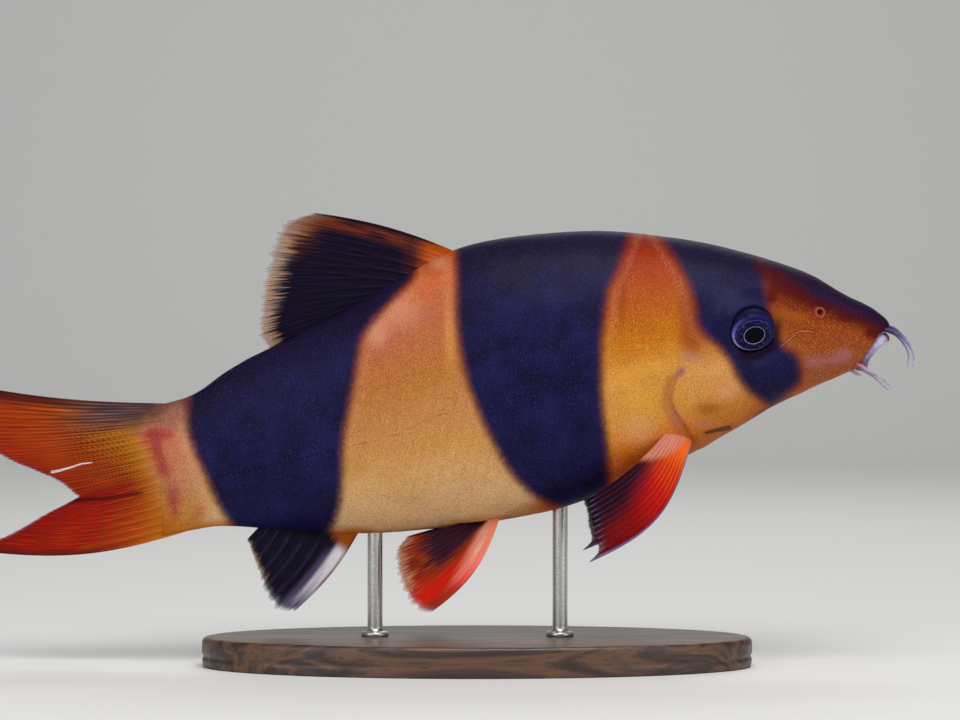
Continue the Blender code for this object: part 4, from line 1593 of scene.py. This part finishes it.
    def relief(self, points: Array, places: Array, spots: Array) -> Array:
        """How far the skin stands out at each point of the body: rims, folds, pits and a gentle unevenness.

        Args:
            points: the plain body's points.
            places: their places counted in sections.
            spots: the pixels that they fall on.

        Returns:
            Heights in millimetres.
        """
        knots = self.form.knots()
        along = np.interp(places, np.arange(len(knots)), knots)
        raised = self.gill_relief(along - knots[self.form.gill_section], points[..., 2])
        raised += self.eye_relief(points) + self.nostril_relief(points)
        for name, line in (("groove", self.groove), ("throat_slit_shade", self.throat_slit_shade)):
            self.marks[name] = distance_from(Outline(line).curve(), spots)
        raised -= 0.12 * bell(self.marks["groove"], 0, 1.6)
        return raised + 0.05 * ripple(points, 5.0, 1) + 0.02 * ripple(points, 1.6, 2)

    def body(self, turns: Array) -> tuple[Array, Array]:
        """The body's points with their relief.

        Args:
            turns: the angle of each column.

        Returns:
            The points, and how high each is on its section.
        """
        start, end = self.snout_start, self.snout_end
        along = self.ring_places()[:, None]
        last = end - self.chin_short * (1 - bell(angle_from(turns, 0), 0, 0.8))
        turned_in = start + (np.maximum(along, start) - start) * (last - start) / (end - start)
        places = np.minimum(np.where(along > start, turned_in, along), last)
        points, level = self.form.rings(places, turns)
        ahead = np.gradient(points, axis=0)
        around = np.roll(points, -1, axis=1) - np.roll(points, 1, axis=1)
        outward = unit(np.cross(around, ahead))
        facing = (points[..., 1] * outward[..., 1])[np.abs(points[..., 1]) > 1]
        outward = outward * np.where(np.median(facing) < 0, -1, 1)
        heights = self.relief(points, places, self.form.photo_marks(points))
        return points + outward * heights[..., None], level

    def tail_rings(self, first: Array) -> Array:
        """Rings that taper the stalk on to the roots of the tail fin's rays.

        Args:
            first: the body's rearmost ring.

        Returns:
            The rings, from the rear.
        """
        steps, half_height = 18, 13.0
        x, y, z = first.T
        rings = []
        for share in np.linspace(1, 0, steps, endpoint=False):
            back = self.tail_taper * share * (0.6 + 0.4 * (z / half_height) ** 2)
            slim = self.tail_slim + (1 - self.tail_slim) * (1 - share) ** 1.25
            rings.append(np.stack([x - back, y * slim, z * (1 - 0.03 * share)], 1))
        return np.array(rings)

    def photo_markings(self, spots: Array) -> dict[str, Array]:
        """How far pixels are in the bars, the snout's band and the soft patches, and from the lateral line.

        Args:
            spots: the pixels.

        Returns:
            A number for each pixel by the marking's name.
        """
        found = {"photo_x": spots[..., 0], "photo_y": spots[..., 1]}
        for name, (rear, front) in self.bars.items():
            border = np.vstack([Outline(rear).stretched(self.bar_run_on),
                                Outline(front).stretched(self.bar_run_on)[::-1]])
            found[name] = distance_from(border, spots, patch=True)
        edge = Outline(self.snout_band).curve()
        top = edge[::-1] - np.array([0.0, self.snout_band_height])
        found["snout_band"] = distance_from(np.vstack([edge, top]), spots, patch=True)
        found["lateral"] = distance_from(Outline(self.lateral_line).curve(), spots)
        return found | {name: patch_mark(name, spots) for name in PATCHES}

    def build(self, finish: bpy.types.Material) -> bpy.types.Object:
        """The skin.

        Args:
            finish: its material.

        Returns:
            The skin.
        """
        turns = np.linspace(0, 2 * math.pi, self.columns, endpoint=False)
        body, level = self.body(turns)
        tail = self.tail_rings(body[0])
        mouth, angles, depths = self.mouth_rings(turns, body[-1])
        points = np.concatenate([tail, body, mouth])
        marks = self.photo_markings(self.form.photo_marks(points))
        before, after = (np.zeros((len(rings), self.columns)) for rings in (tail, mouth))
        marks["level"] = np.concatenate([before + level[0], level, after + level[-1]])
        for name, values in self.marks.items():
            outside = self.far if name in ("groove", "throat_slit_shade") else 0.0
            marks[name] = np.concatenate([before + outside, values, after + outside])
        upper = bell(angle_from(turns, 0), 0, 0.72)
        lip = ease(angles, math.radians(-80), math.radians(-50))
        red = ease(angles, math.radians(-50), 0.0) * ease(angles, math.radians(84), math.radians(60))
        on_body = np.zeros((len(tail) + len(body), self.columns))
        for name, values in (("lip", after + lip[:, None]), ("lip_red", red[:, None] * upper),
                             ("mouth", after + depths[:, None])):
            marks[name] = np.concatenate([on_body, values])
        last = (len(points) - 1) * self.columns
        cap = straight_cap(self.columns)
        faces = [grid_faces(len(points), self.columns, closed=True)[:, ::-1], *cap]
        faces += [part[:, ::-1] + last for part in cap]
        made = make_piece("loach_skin", self.form.posed(points) * MM, faces, finish, marks)
        made.data.validate()
        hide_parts("head", "trunk", "tail_stalk")
        return made


@dataclass(frozen=True)
class FinLobe:
    """Roots and tips of a run of rays, from the leading one, in the side view."""

    rays: int
    root: Pixels
    tips: Pixels
    bulge: tuple[float, float]
    flare: tuple[tuple[float, float], tuple[float, float]]


@dataclass
class Fin:
    """A thin membrane over fine, branching rays."""

    form: FishForm
    name: str
    lobes: tuple[FinLobe, ...]
    sink: float
    fringe: float
    root_thick: float = 0.62
    tip_thick: float = 0.22
    web_thick: float = 0.24
    fleshy: float = 0.0
    columns_per_ray: int = 24
    rows: int = 80
    lines: dict[str, Pixels] = field(default_factory=dict)

    def surface(self, lobe: FinLobe, reach: Array, across: Array, paired: bool) -> Array:
        """Points of the fin's middle surface on the fish's left.

        Args:
            lobe: the run of rays.
            reach: from 0 at the roots to 1 at the tips.
            across: from 0 at the leading ray to 1 at the trailing one.
            paired: whether the fin is one of two.

        Returns:
            The points.
        """
        root, tip = along_curve(lobe.root, across), along_curve(lobe.tips, across)
        start = root - unit(tip - root) * self.sink
        way = tip - start
        forward = unit(np.stack([-way[..., 1], way[..., 0]], axis=-1))
        lead = np.array(lobe.tips[0]) - np.array(lobe.tips[-1])
        forward = forward * np.where(forward @ lead < 0, -1.0, 1.0)[..., None]
        bulge = lobe.bulge[0] + (lobe.bulge[1] - lobe.bulge[0]) * across
        flat = start + way * reach[..., None] + forward * (bulge * np.sin(math.pi * reach))[..., None]
        first, last = lobe.flare
        middle, end = first[0] + (last[0] - first[0]) * across, first[1] + (last[1] - first[1]) * across
        halfway = smooth_curve([0, 0.5, 1], [0, 1, 0], reach)
        aside = middle * halfway + end * smooth_curve([0, 0.5, 1], [0, 0, 1], reach)
        if paired:
            aside = aside + self.form.half_width(root[..., 0], root[..., 1]) - self.sink
        return np.stack([flat[..., 0], aside, flat[..., 1]], axis=-1)

    @staticmethod
    def ridges(ray: Array, reach: Array) -> Array:
        """Height of the rays over the web, from 0 to 1. Each ray branches three times on its way out.

        Args:
            ray: the number of the ray at each point.
            reach: from 0 at the roots to 1 at the tips.

        Returns:
            The heights.
        """
        phase = ray - np.round(ray)
        forks = ((0.25, 0.22, 0.62), (0.125, 0.45, 0.82), (0.0625, 0.7, 0.96))
        spread = [away * ease(reach, start, end) for away, start, end in forks]
        width = 0.17 - 0.13 * ease(reach, 0.1, 0.85)
        height = np.zeros(ray.shape)
        for branch in range(8):
            ways = [1 if branch & bit else -1 for bit in (4, 2, 1)]
            offset = sum(way * away for way, away in zip(ways, spread))
            height = np.maximum(height, bell((phase - offset) / width, 0, 1))
        return height

    def sheets(self, paired: bool) -> tuple[Array, Array, Array]:
        """The middle surface of every lobe, side by side, with an uneven fringe.

        Args:
            paired: whether the fin is one of two.

        Returns:
            Its points, the number of the ray at each, and how far out each is, from 0 to 1.
        """
        draws = np.random.default_rng(SEED + sum(map(ord, self.name)))
        hairs_per_ray, crowding = 8, 0.9
        parts, counted = [], 0
        for lobe in self.lobes:
            columns = (lobe.rays - 1) * self.columns_per_ray + 1
            across = np.linspace(0, 1, columns)[None, :] + np.zeros((self.rows, 1))
            reach = (np.linspace(0, 1, self.rows) ** crowding)[:, None] + np.zeros((1, columns))
            ray = across * (lobe.rays - 1)
            tip = self.ridges(ray, np.ones(ray.shape))[0]
            hairs = lobe.rays * hairs_per_ray
            uneven = np.interp(ray[0], np.arange(hairs) / hairs_per_ray, draws.uniform(0.2, 1.0, hairs))
            end = 1 - self.fringe * (1 - tip * uneven)
            parts.append((self.surface(lobe, reach * end[None, :], across, paired), ray + counted, reach))
            counted += lobe.rays
        middle, ray, reach = (np.concatenate(part, axis=1) for part in zip(*parts))
        return middle, ray, reach

    def thickness(self, ray: Array, reach: Array, ridge: Array) -> Array:
        """How thick the fin is, over its rays and its web.

        Args:
            ray: the number of the ray at each point.
            reach: from 0 at the roots to 1 at the tips.
            ridge: height of the rays over the web, from 0 to 1.

        Returns:
            Thicknesses in millimetres.
        """
        lead = 0.8 * bell(ray, 0, 0.5)
        web = self.web_thick * (1 - 0.45 * reach)
        strong = self.root_thick + (self.tip_thick - self.root_thick) * reach**0.7
        thick = web + (strong - web) * np.maximum(ridge, lead)
        thick = thick + self.fleshy * (1 - ease(reach, 0.0, 0.3))
        return thick * (1 - 0.7 * ease(reach, 0.94, 1.0))

    @staticmethod
    def sheet_faces(rows: int, columns: int) -> list[Array]:
        """Faces of two sheets of points, one behind the other, and of the rim that joins them.

        Args:
            rows: rows of points in each sheet.
            columns: columns of points in each sheet.

        Returns:
            The faces of the front, the back and the rim.
        """
        sheet, count = grid_faces(rows, columns), rows * columns
        border = np.concatenate([np.arange(columns), np.arange(1, rows) * columns + columns - 1,
                                 (rows - 1) * columns + np.arange(columns - 2, -1, -1),
                                 np.arange(rows - 2, 0, -1) * columns])
        after = np.roll(border, -1)
        return [sheet, sheet[:, ::-1] + count, np.stack([border, border + count, after + count, after], 1)]

    def build(self, side: Side, slot: str, finish: bpy.types.Material, *nodes: str) -> bpy.types.Object:
        """One fin.

        Args:
            side: its side, or the middle.
            slot: the record's material slot; not used.
            finish: its material.
            *nodes: the solids that it stands for.

        Returns:
            The fin.
        """
        middle, ray, reach = self.sheets(side is not Side.MIDDLE)
        ridge = self.ridges(ray, reach)
        thick = self.thickness(ray, reach, ridge)
        normal = unit(np.cross(np.gradient(middle, axis=0), np.gradient(middle, axis=1)))
        front, back = (middle + normal * (thick * way / 2)[..., None] for way in (1, -1))
        points = np.concatenate([front.reshape(-1, 3), back.reshape(-1, 3)])
        faces = self.sheet_faces(*ray.shape)
        if side is Side.RIGHT:
            points[:, 1] *= -1
        else:
            faces = [face[:, ::-1] for face in faces]
        spots = self.form.photo_marks(points)
        marks = {"photo_x": spots[..., 0], "photo_y": spots[..., 1]}
        marks |= {mark: np.tile(values.ravel(), 2) for mark, values in (("ray", ray), ("reach", reach),
                                                                        ("ridge", ridge))}
        if self.lines:
            marks["rose"] = patch_mark("rose", spots)
            marks |= {mark: distance_from(np.array(line), spots) for mark, line in self.lines.items()}
        name = side.piece(self.name)
        made = make_piece(f"loach_{name}", self.form.posed(points) * MM, faces, finish, marks)
        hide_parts(*(nodes or (name,)))
        return made


@dataclass(frozen=True)
class Barbel:
    """One kind of feeler: its middle line on the fish's left, its radius at both ends and how pink it is."""

    name: str
    path: tuple[tuple[float, float, float], ...]
    root: float
    tip: float
    blush: float


@dataclass
class Barbels:
    """Soft feelers round the mouth."""

    form: FishForm
    kinds: tuple[Barbel, ...] = (
        Barbel("rostral_inner", ((145.6, 0.9, -3.7), (148.0, 1.1, -5.2), (149.5, 1.3, -7.2),
                                 (150.2, 1.5, -9.0)), 0.60, 0.27, 0.0),
        Barbel("rostral_outer", ((145.3, 1.7, -4.6), (147.8, 2.3, -5.9), (149.5, 2.9, -8.2),
                                 (150.2, 3.4, -10.9), (149.4, 3.7, -13.4)), 0.64, 0.27, 0.0),
        Barbel("maxillary", ((138.2, 2.6, -9.6), (140.3, 3.8, -11.7), (142.6, 4.7, -14.0),
                             (144.9, 5.3, -17.2)), 0.66, 0.27, 1.0),
        Barbel("mandibular", ((137.3, 1.4, -10.6), (138.5, 1.5, -12.0), (139.4, 1.5, -12.8)),
               0.52, 0.30, 1.0),
    )
    slimming: float = 0.62
    swollen_root: float = 0.22
    round_tip: float = 0.04
    unevenness: float = 0.03
    steps: int = 90
    sides: int = 28

    def finish(self) -> bpy.types.Material:
        """Moist whitish lilac, pink at the root.

        Returns:
            The material.
        """
        board = Board("barbel_skin", Coat_Weight=0.12, Coat_Roughness=0.15, Specular_IOR_Level=0.2,
                      Subsurface_Weight=0.1, Subsurface_Radius=(1.0, 0.4, 0.3), Subsurface_Scale=0.6 * MM)
        mottle = board.noise(0.7, 3.0)
        place = board.mark("reach") + (mottle - 0.5) * 0.2
        dark = board.ramp(place, (0.0, "#1E1430"), (0.25, "#4A3C6C"), (0.6, "#8C80AC"), (1.0, "#ACA4BC"))
        pink = board.ramp(place, (0.0, "#7A1C28"), (0.15, "#B0506C"), (0.35, "#A48CA8"), (1.0, "#B8B0C0"))
        colour = dark.layered((pink, board.mark("blush")), ("#4A4060", mottle.step(0.5, 0.3) * 0.5))
        return board.wear(colour, mottle * 0.2 + 0.35, mottle, 0.05)

    def radii(self, kind: Barbel, share: Array) -> Array:
        """The radius of each side of each ring, with fine wrinkles.

        Args:
            kind: the barbel.
            share: how far along it each ring is.

        Returns:
            Rows of radii.
        """
        radius = (kind.root + (kind.tip - kind.root) * share**0.7) * self.slimming
        radius = radius + self.swollen_root * np.exp(-share * 9)
        past = (share - (1 - self.round_tip)).clip(0)
        radius = radius * np.sqrt(np.clip(1 - past**2 / self.round_tip**2, 0.002, 1))
        turns = np.linspace(0, 2 * math.pi, self.sides, endpoint=False)
        waves = np.sin(share * 110 + 2 * np.sin(share * 31))[:, None]
        return radius[:, None] * (1 + self.unevenness * waves * (1 + 0.3 * np.sin(turns)))

    def build(self, finish: bpy.types.Material) -> None:
        """Every barbel.

        Args:
            finish: their material.
        """
        share = np.linspace(0, 1, self.steps)
        for number, kind in enumerate(self.kinds):
            line, radii = along_curve(kind.path, share), self.radii(kind, share)
            for side in BOTH_SIDES:
                rings = tube_grid(line * np.array([1, side.value, 1]), radii, self.sides)
                rings = rings + self.unevenness * ripple(rings, 0.9, number)[..., None]
                points, faces = capped(rings)
                marks = {"reach": np.append(np.repeat(share, self.sides), [0, 1]),
                         "blush": np.full(len(points), kind.blush)}
                node = side.piece(kind.name)
                points = self.form.posed(points) * MM
                made = make_piece(f"loach_{node}", points, faces, finish, marks)
                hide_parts(node)


# The stand and the set


@dataclass
class Stand:
    """An oval walnut plinth with a routed edge, and two steel rods with collars."""

    form: FishForm
    length: float = 110.0
    width: float = 50.0
    height: float = 6.0
    rod_radius: float = 1.5
    rods: tuple[tuple[str, float], ...] = (("stand_rod_front", 16.6), ("stand_rod_rear", -20.4))
    rod_insert: float = 4.0
    rod_seat: float = 2.0
    collar_radius: float = 2.75
    collar_edge: float = 2.6
    sides: int = 192

    def walnut(self) -> bpy.types.Material:
        """Dark walnut with long grain, pores and a satin finish.

        Returns:
            The material.
        """
        board = Board("walnut", Coat_Weight=0.35, Coat_Roughness=0.25)
        swirl = board.noise(9.0, 4.0, board.places((0.06, 1.0, 1.0)), 1.2)
        rings = (swirl * 34.0).apply("SINE") * 0.5 + 0.5
        fibre = board.noise(0.5, 3.0, board.places((0.05, 1.0, 1.0)))
        pores = board.noise(0.28, 1.0, board.places((0.03, 1.0, 1.0))).step(0.63, 0.72)
        colour = board.ramp(rings * 0.6 + fibre * 0.4, (0.2, "#2A170D"), (0.5, "#43281A"), (0.8, "#5E3C26"))
        colour = colour.over("#1A0D07", pores * 0.7)
        return board.wear(colour, fibre * 0.18 + pores * 0.2 + 0.38, fibre * 0.4 - pores, 0.06)

    def steel(self) -> bpy.types.Material:
        """Brushed steel with fine scratches round the rod.

        Returns:
            The material.
        """
        board = Board("brushed_steel", Metallic=1.0)
        scratch = board.noise(0.12, 2.0, board.places((0.15, 0.15, 1.0)))
        colour = board.ramp(scratch, (0.3, "#A9A7A2"), (0.7, "#D4D2CC"))
        return board.wear(colour, scratch * 0.2 + 0.22, scratch, 0.01)

    def turned(self, name: str, profile: list[tuple[float, float]], stretch: tuple[float, float], x: float,
               finish: bpy.types.Material) -> bpy.types.Object:
        """A piece turned on a lathe round an upright axis.

        Args:
            name: the piece's name.
            profile: radius and height of its rings, from the middle of the underside to that of the top.
            stretch: scale along X and Y.
            x: where the axis is along the stand.
            finish: its material.

        Returns:
            The piece.
        """
        turns = np.linspace(0, 2 * math.pi, self.sides, endpoint=False)
        radii, heights = np.array(profile).T[..., None]
        rings = np.stack([x + stretch[0] * radii * np.cos(turns), stretch[1] * radii * np.sin(turns),
                          heights + np.zeros(self.sides)], -1)
        points, faces = capped(rings)
        return make_piece(name, points * MM, faces, finish)

    def belly_height(self, x: float) -> float:
        """Height of the belly over the floor at a place along the stand.

        Args:
            x: the place, in millimetres.

        Returns:
            The height in millimetres.
        """
        steps = 800
        table = self.form.values(np.linspace(0, len(self.form.sections) - 1, steps))
        line = self.form.posed(np.stack([table[:, 2], np.zeros(steps), table[:, 3]], 1))
        return float(line[np.argmin(np.abs(line[:, 0] - x)), 2])

    def plinth(self) -> bpy.types.Object:
        """The base, whose radii are shares of its half length and half width.

        Returns:
            The base.
        """
        under = [(share, 0.0) for share in np.linspace(0.02, 0.95, 8)]
        foot = [(0.985, 0.0), (0.994, 0.25), (0.9975, 0.6), (0.9985, 1.1), (0.999, 1.6)]
        cove = [(0.996, 1.9), (0.9945, 2.2), (0.996, 2.5), (0.9995, 2.8), (1.0, 3.4), (1.0, 4.4)]
        rim = [(0.9995, 4.9), (0.9975, 5.3), (0.993, 5.65), (0.986, 5.88), (0.976, 5.98), (0.96, self.height)]
        flat = [(share, self.height) for share in np.linspace(0.9, 0.02, 12)]
        made = self.turned("plinth", under + foot + cove + rim + flat, (self.length / 2, self.width / 2), 0.0,
                           self.walnut())
        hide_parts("stand_base")
        return made

    def rod(self, name: str, x: float, finish: bpy.types.Material) -> bpy.types.Object:
        """One rod with its collar.

        Args:
            name: the solid that it stands for.
            x: its place along the stand, in millimetres.
            finish: its material.

        Returns:
            The rod.
        """
        r, axis, top = self.rod_radius, 0.05, self.belly_height(x) + self.rod_insert
        base, bottom = self.height, self.height - self.rod_seat
        wide, edge = self.collar_radius, self.collar_edge
        foot = [(axis, bottom), (r * 0.9, bottom), (r, bottom + 0.15), (r, base - 0.1)]
        collar = [(edge, base - 0.05), (wide, base + 0.12), (wide, base + 0.7), (edge, base + 0.9),
                  (1.9, base + 1.0), (1.75, base + 1.2), (r * 1.02, base + 1.5)]
        shaft = [(r, height) for height in np.linspace(base + 1.6, top - 0.5, 60)]
        tip = [(r * 0.95, top - 0.2), (r * 0.8, top - 0.05), (axis, top)]
        made = self.turned(f"{name}_turned", foot + collar + shaft + tip, (1, 1), x, finish)
        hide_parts(name)
        return made

    def build(self) -> None:
        """The base and both rods."""
        self.plinth()
        steel = self.steel()
        for name, x in self.rods:
            self.rod(name, x, steel)


@dataclass(frozen=True)
class Lamp:
    """A soft square light that faces the fish or another aim."""

    name: str
    place: tuple[float, float, float]
    size: float
    watts: float
    tint: str = "#FFFFFF"
    aim: tuple[float, float, float] = (0.0, 0.0, 0.055)

    def hang(self) -> None:
        """Puts it up where no camera sees it."""
        light = bpy.data.lights.new(self.name, "AREA")
        light.shape, light.size, light.energy = "SQUARE", self.size, self.watts
        light.color = paint(self.tint)[:3]
        made = bpy.data.objects.new(self.name, light)
        made.location = self.place
        made.rotation_euler = (Vector(self.aim) - Vector(self.place)).to_track_quat("-Z", "Y").to_euler()
        made.visible_camera = False
        bpy.context.scene.collection.objects.link(made)


@dataclass
class Studio:
    """A pale sweep of paper, soft lights and a level camera where the photograph's was."""

    photo: Photo = field(default_factory=Photo)
    lens: float = 112.5
    sensor: float = 36.0
    sweep_front: float = -2400.0
    sweep_back: float = 1650.0
    sweep_curve: float = 400.0
    sweep_half_width: float = 2400.0
    sweep_height: float = 1800.0
    sky: str = "#E8ECF0"
    sky_strength: float = 0.25
    lamps: tuple[Lamp, ...] = (
        Lamp("key", (0.10, -0.45, 0.70), 0.5, 5.2),
        Lamp("fill", (-0.55, -0.65, 0.35), 0.6, 2.0, "#F4F6FF"),
        Lamp("back", (0.1, 0.55, 0.6), 0.5, 1.0),
        Lamp("cheek", (0.6, -0.5, 0.15), 0.5, 1.0),
        Lamp("backdrop", (0.0, 0.9, 1.3), 0.8, 5.0, aim=(0.0, 1.6, 0.4)),
    )

    def paper(self) -> None:
        """The floor, which curves up into the backdrop."""
        board = Board("pale_paper", Roughness=0.85)
        tooth = board.noise(0.5, 2.0)
        finish = board.wear(board.ramp(tooth, (0.3, "#DCDBD8"), (0.7, "#E0DFDC")), None, tooth, 0.01)
        curve, bend_start = self.sweep_curve, self.sweep_back - self.sweep_curve
        side = [(self.sweep_front, 0.0), (bend_start, 0.0)]
        side += [(bend_start + curve * math.sin(turn), curve * (1 - math.cos(turn)))
                 for turn in np.linspace(0, math.pi / 2, 24)[1:]]
        side += [(self.sweep_back, self.sweep_height)]
        columns = 9
        across = np.linspace(-self.sweep_half_width, self.sweep_half_width, columns)
        rows = np.array([[(x, y, z) for x in across] for y, z in side])
        mesh = bpy.data.meshes.new("paper_sweep")
        mesh.from_pydata((rows.reshape(-1, 3) * MM).tolist(), [], grid_faces(len(side), columns).tolist())
        mesh.shade_smooth()
        mesh.materials.append(finish)
        sweep = bpy.data.objects.new("paper_sweep", mesh)
        bpy.context.scene.collection.objects.link(sweep)

    def camera(self) -> None:
        """A level camera that frames what the photograph does."""
        camera = bpy.data.cameras.new("camera")
        camera.lens, camera.sensor_width, camera.sensor_fit = self.lens, self.sensor, "HORIZONTAL"
        made = bpy.data.objects.new("camera", camera)
        made.location = (self.photo.aim[0] * MM, -self.photo.distance * MM, self.photo.aim[1] * MM)
        made.rotation_euler = (math.radians(90), 0, 0)
        bpy.context.scene.collection.objects.link(made)
        bpy.context.scene.camera = made

    def build(self) -> None:
        """The whole set."""
        self.paper()
        for lamp in self.lamps:
            lamp.hang()
        world = bpy.data.worlds.new("studio")
        world.use_nodes = True
        background = world.node_tree.nodes["Background"]
        background.inputs["Color"].default_value = paint(self.sky)
        background.inputs["Strength"].default_value = self.sky_strength
        bpy.context.scene.world = world
        bpy.context.scene.view_settings.view_transform = "Standard"
        self.camera()
        report.info("studio set up")


def make_fins(form: FishForm) -> None:
    """Every fin of the fish.

    Args:
        form: the fish's shape.
    """
    dorsal = Fin(form, "dorsal_fin", sink=3.0, fringe=0.085, lobes=(FinLobe(
        rays=11, root=((65.4, 29.6), (57.6, 27.5), (49.8, 25.1), (42.0, 22.8)),
        tips=((38.6, 44.1), (34.6, 43.8), (31.2, 42.0), (29.0, 39.0), (27.4, 35.4), (26.0, 31.8),
              (24.6, 28.2), (23.6, 25.0), (23.0, 21.8), (24.4, 18.2)),
        bulge=(1.4, -0.3), flare=((-0.3, -1.2), (0.4, 1.5))),))
    anal = Fin(form, "anal_fin", sink=2.6, fringe=0.09, lobes=(FinLobe(
        rays=8, root=((33.4, -21.4), (26.5, -18.8), (19.5, -16.9), (14.6, -15.7)),
        tips=((17.2, -34.0), (14.3, -32.4), (13.2, -29.6), (12.8, -26.4), (12.6, -23.0), (12.4, -19.4),
              (12.2, -17.3)),
        bulge=(1.2, 0.0), flare=((0.3, 1.2), (0.0, 0.0))),))
    upper = FinLobe(
        rays=9, root=((3.2, 12.9), (3.2, 8.7), (3.2, 4.4), (3.2, 0.15)),
        tips=((-43.0, 29.1), (-40.6, 21.0), (-36.8, 14.7), (-32.0, 9.7), (-27.6, 6.5), (-22.8, 3.0),
              (-19.4, -1.0)),
        bulge=(-1.4, 0.0), flare=((-0.8, -1.6), (0.1, 0.3)))
    lower = FinLobe(
        rays=9, root=((3.2, -0.15), (3.2, -4.4), (3.2, -8.7), (3.2, -12.7)),
        tips=((-19.4, -1.4), (-22.6, -2.2), (-27.0, -3.2), (-31.0, -4.4), (-34.8, -5.4), (-38.8, -6.2),
              (-43.2, -7.2)),
        bulge=(0.0, -2.9), flare=((0.1, 0.3), (1.2, 3.4)))
    tail = Fin(form, "tail_fin", sink=0.0, fringe=0.02, rows=100, lobes=(upper, lower), lines={
        "scar": ((52, 472), (60, 470.5), (72, 467), (82, 463.6), (92, 462.6)),
        "seam": ((70, 501), (84, 500), (104, 499), (124, 496), (142, 493))})
    pelvic = Fin(form, "pelvic_fin", sink=1.2, fringe=0.09, lobes=(FinLobe(
        rays=8, root=((62.4, -23.8), (60.6, -23.7), (58.6, -23.5), (56.6, -23.3)),
        tips=((44.0, -39.6), (41.5, -38.2), (40.2, -35.4), (39.6, -32.0), (39.8, -28.6), (40.6, -25.9),
              (42.8, -24.0)),
        bulge=(2.6, 0.0), flare=((2.4, 4.4), (1.0, 1.0))),))
    pectoral = Fin(form, "pectoral_fin", sink=1.6, fringe=0.03, fleshy=0.7, lobes=(FinLobe(
        rays=13, root=((101.9, -17.4), (100.9, -16.4), (99.6, -15.5), (98.0, -14.8)),
        tips=((77.2, -35.8), (79.2, -34.3), (79.6, -32.4), (79.7, -30.4), (80.0, -28.6), (79.9, -26.9),
              (79.9, -25.2), (80.6, -23.6)),
        bulge=(5.0, 0.9), flare=((7.6, 11.8), (5.0, 6.4))),))
    dorsal.build(Side.MIDDLE, "dark_fin", DorsalFinish("dorsal_skin", web_solid=0.25, margin=0.8).make())
    anal.build(Side.MIDDLE, "dark_fin", AnalFinish("anal_skin").make())
    tail_finish = TailFinish("tail_skin", hairs=4.0, hair_dark=0.6, web_solid=0.8, margin=0.93,
                             hair_start=(0.1, 0.45))
    tail.build(Side.MIDDLE, "orange_fin", tail_finish.make(), "tail_fin_upper", "tail_fin_lower")
    pelvic_skin = PelvicFinish("pelvic_skin").make()
    pectoral_skin = PectoralFinish("pectoral_skin", web_solid=0.6, margin=0.94).make()
    for side in BOTH_SIDES:
        pelvic.build(side, "red_fin", pelvic_skin)
        pectoral.build(side, "red_fin", pectoral_skin)


def main() -> None:
    """Builds and dresses the model."""
    logging.basicConfig(level=logging.INFO, format="%(name)s: %(message)s")
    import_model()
    Studio().build()
    form = FishForm()
    eye = Eye(form)
    Skin(form, eye).build(SkinFinish().make())
    eye_finish = eye.finish()
    for side in BOTH_SIDES:
        eye.build(side, eye_finish)
    make_fins(form)
    barbels = Barbels(form)
    barbels.build(barbels.finish())
    Stand(form).build()


if __name__ == "__main__":
    main()
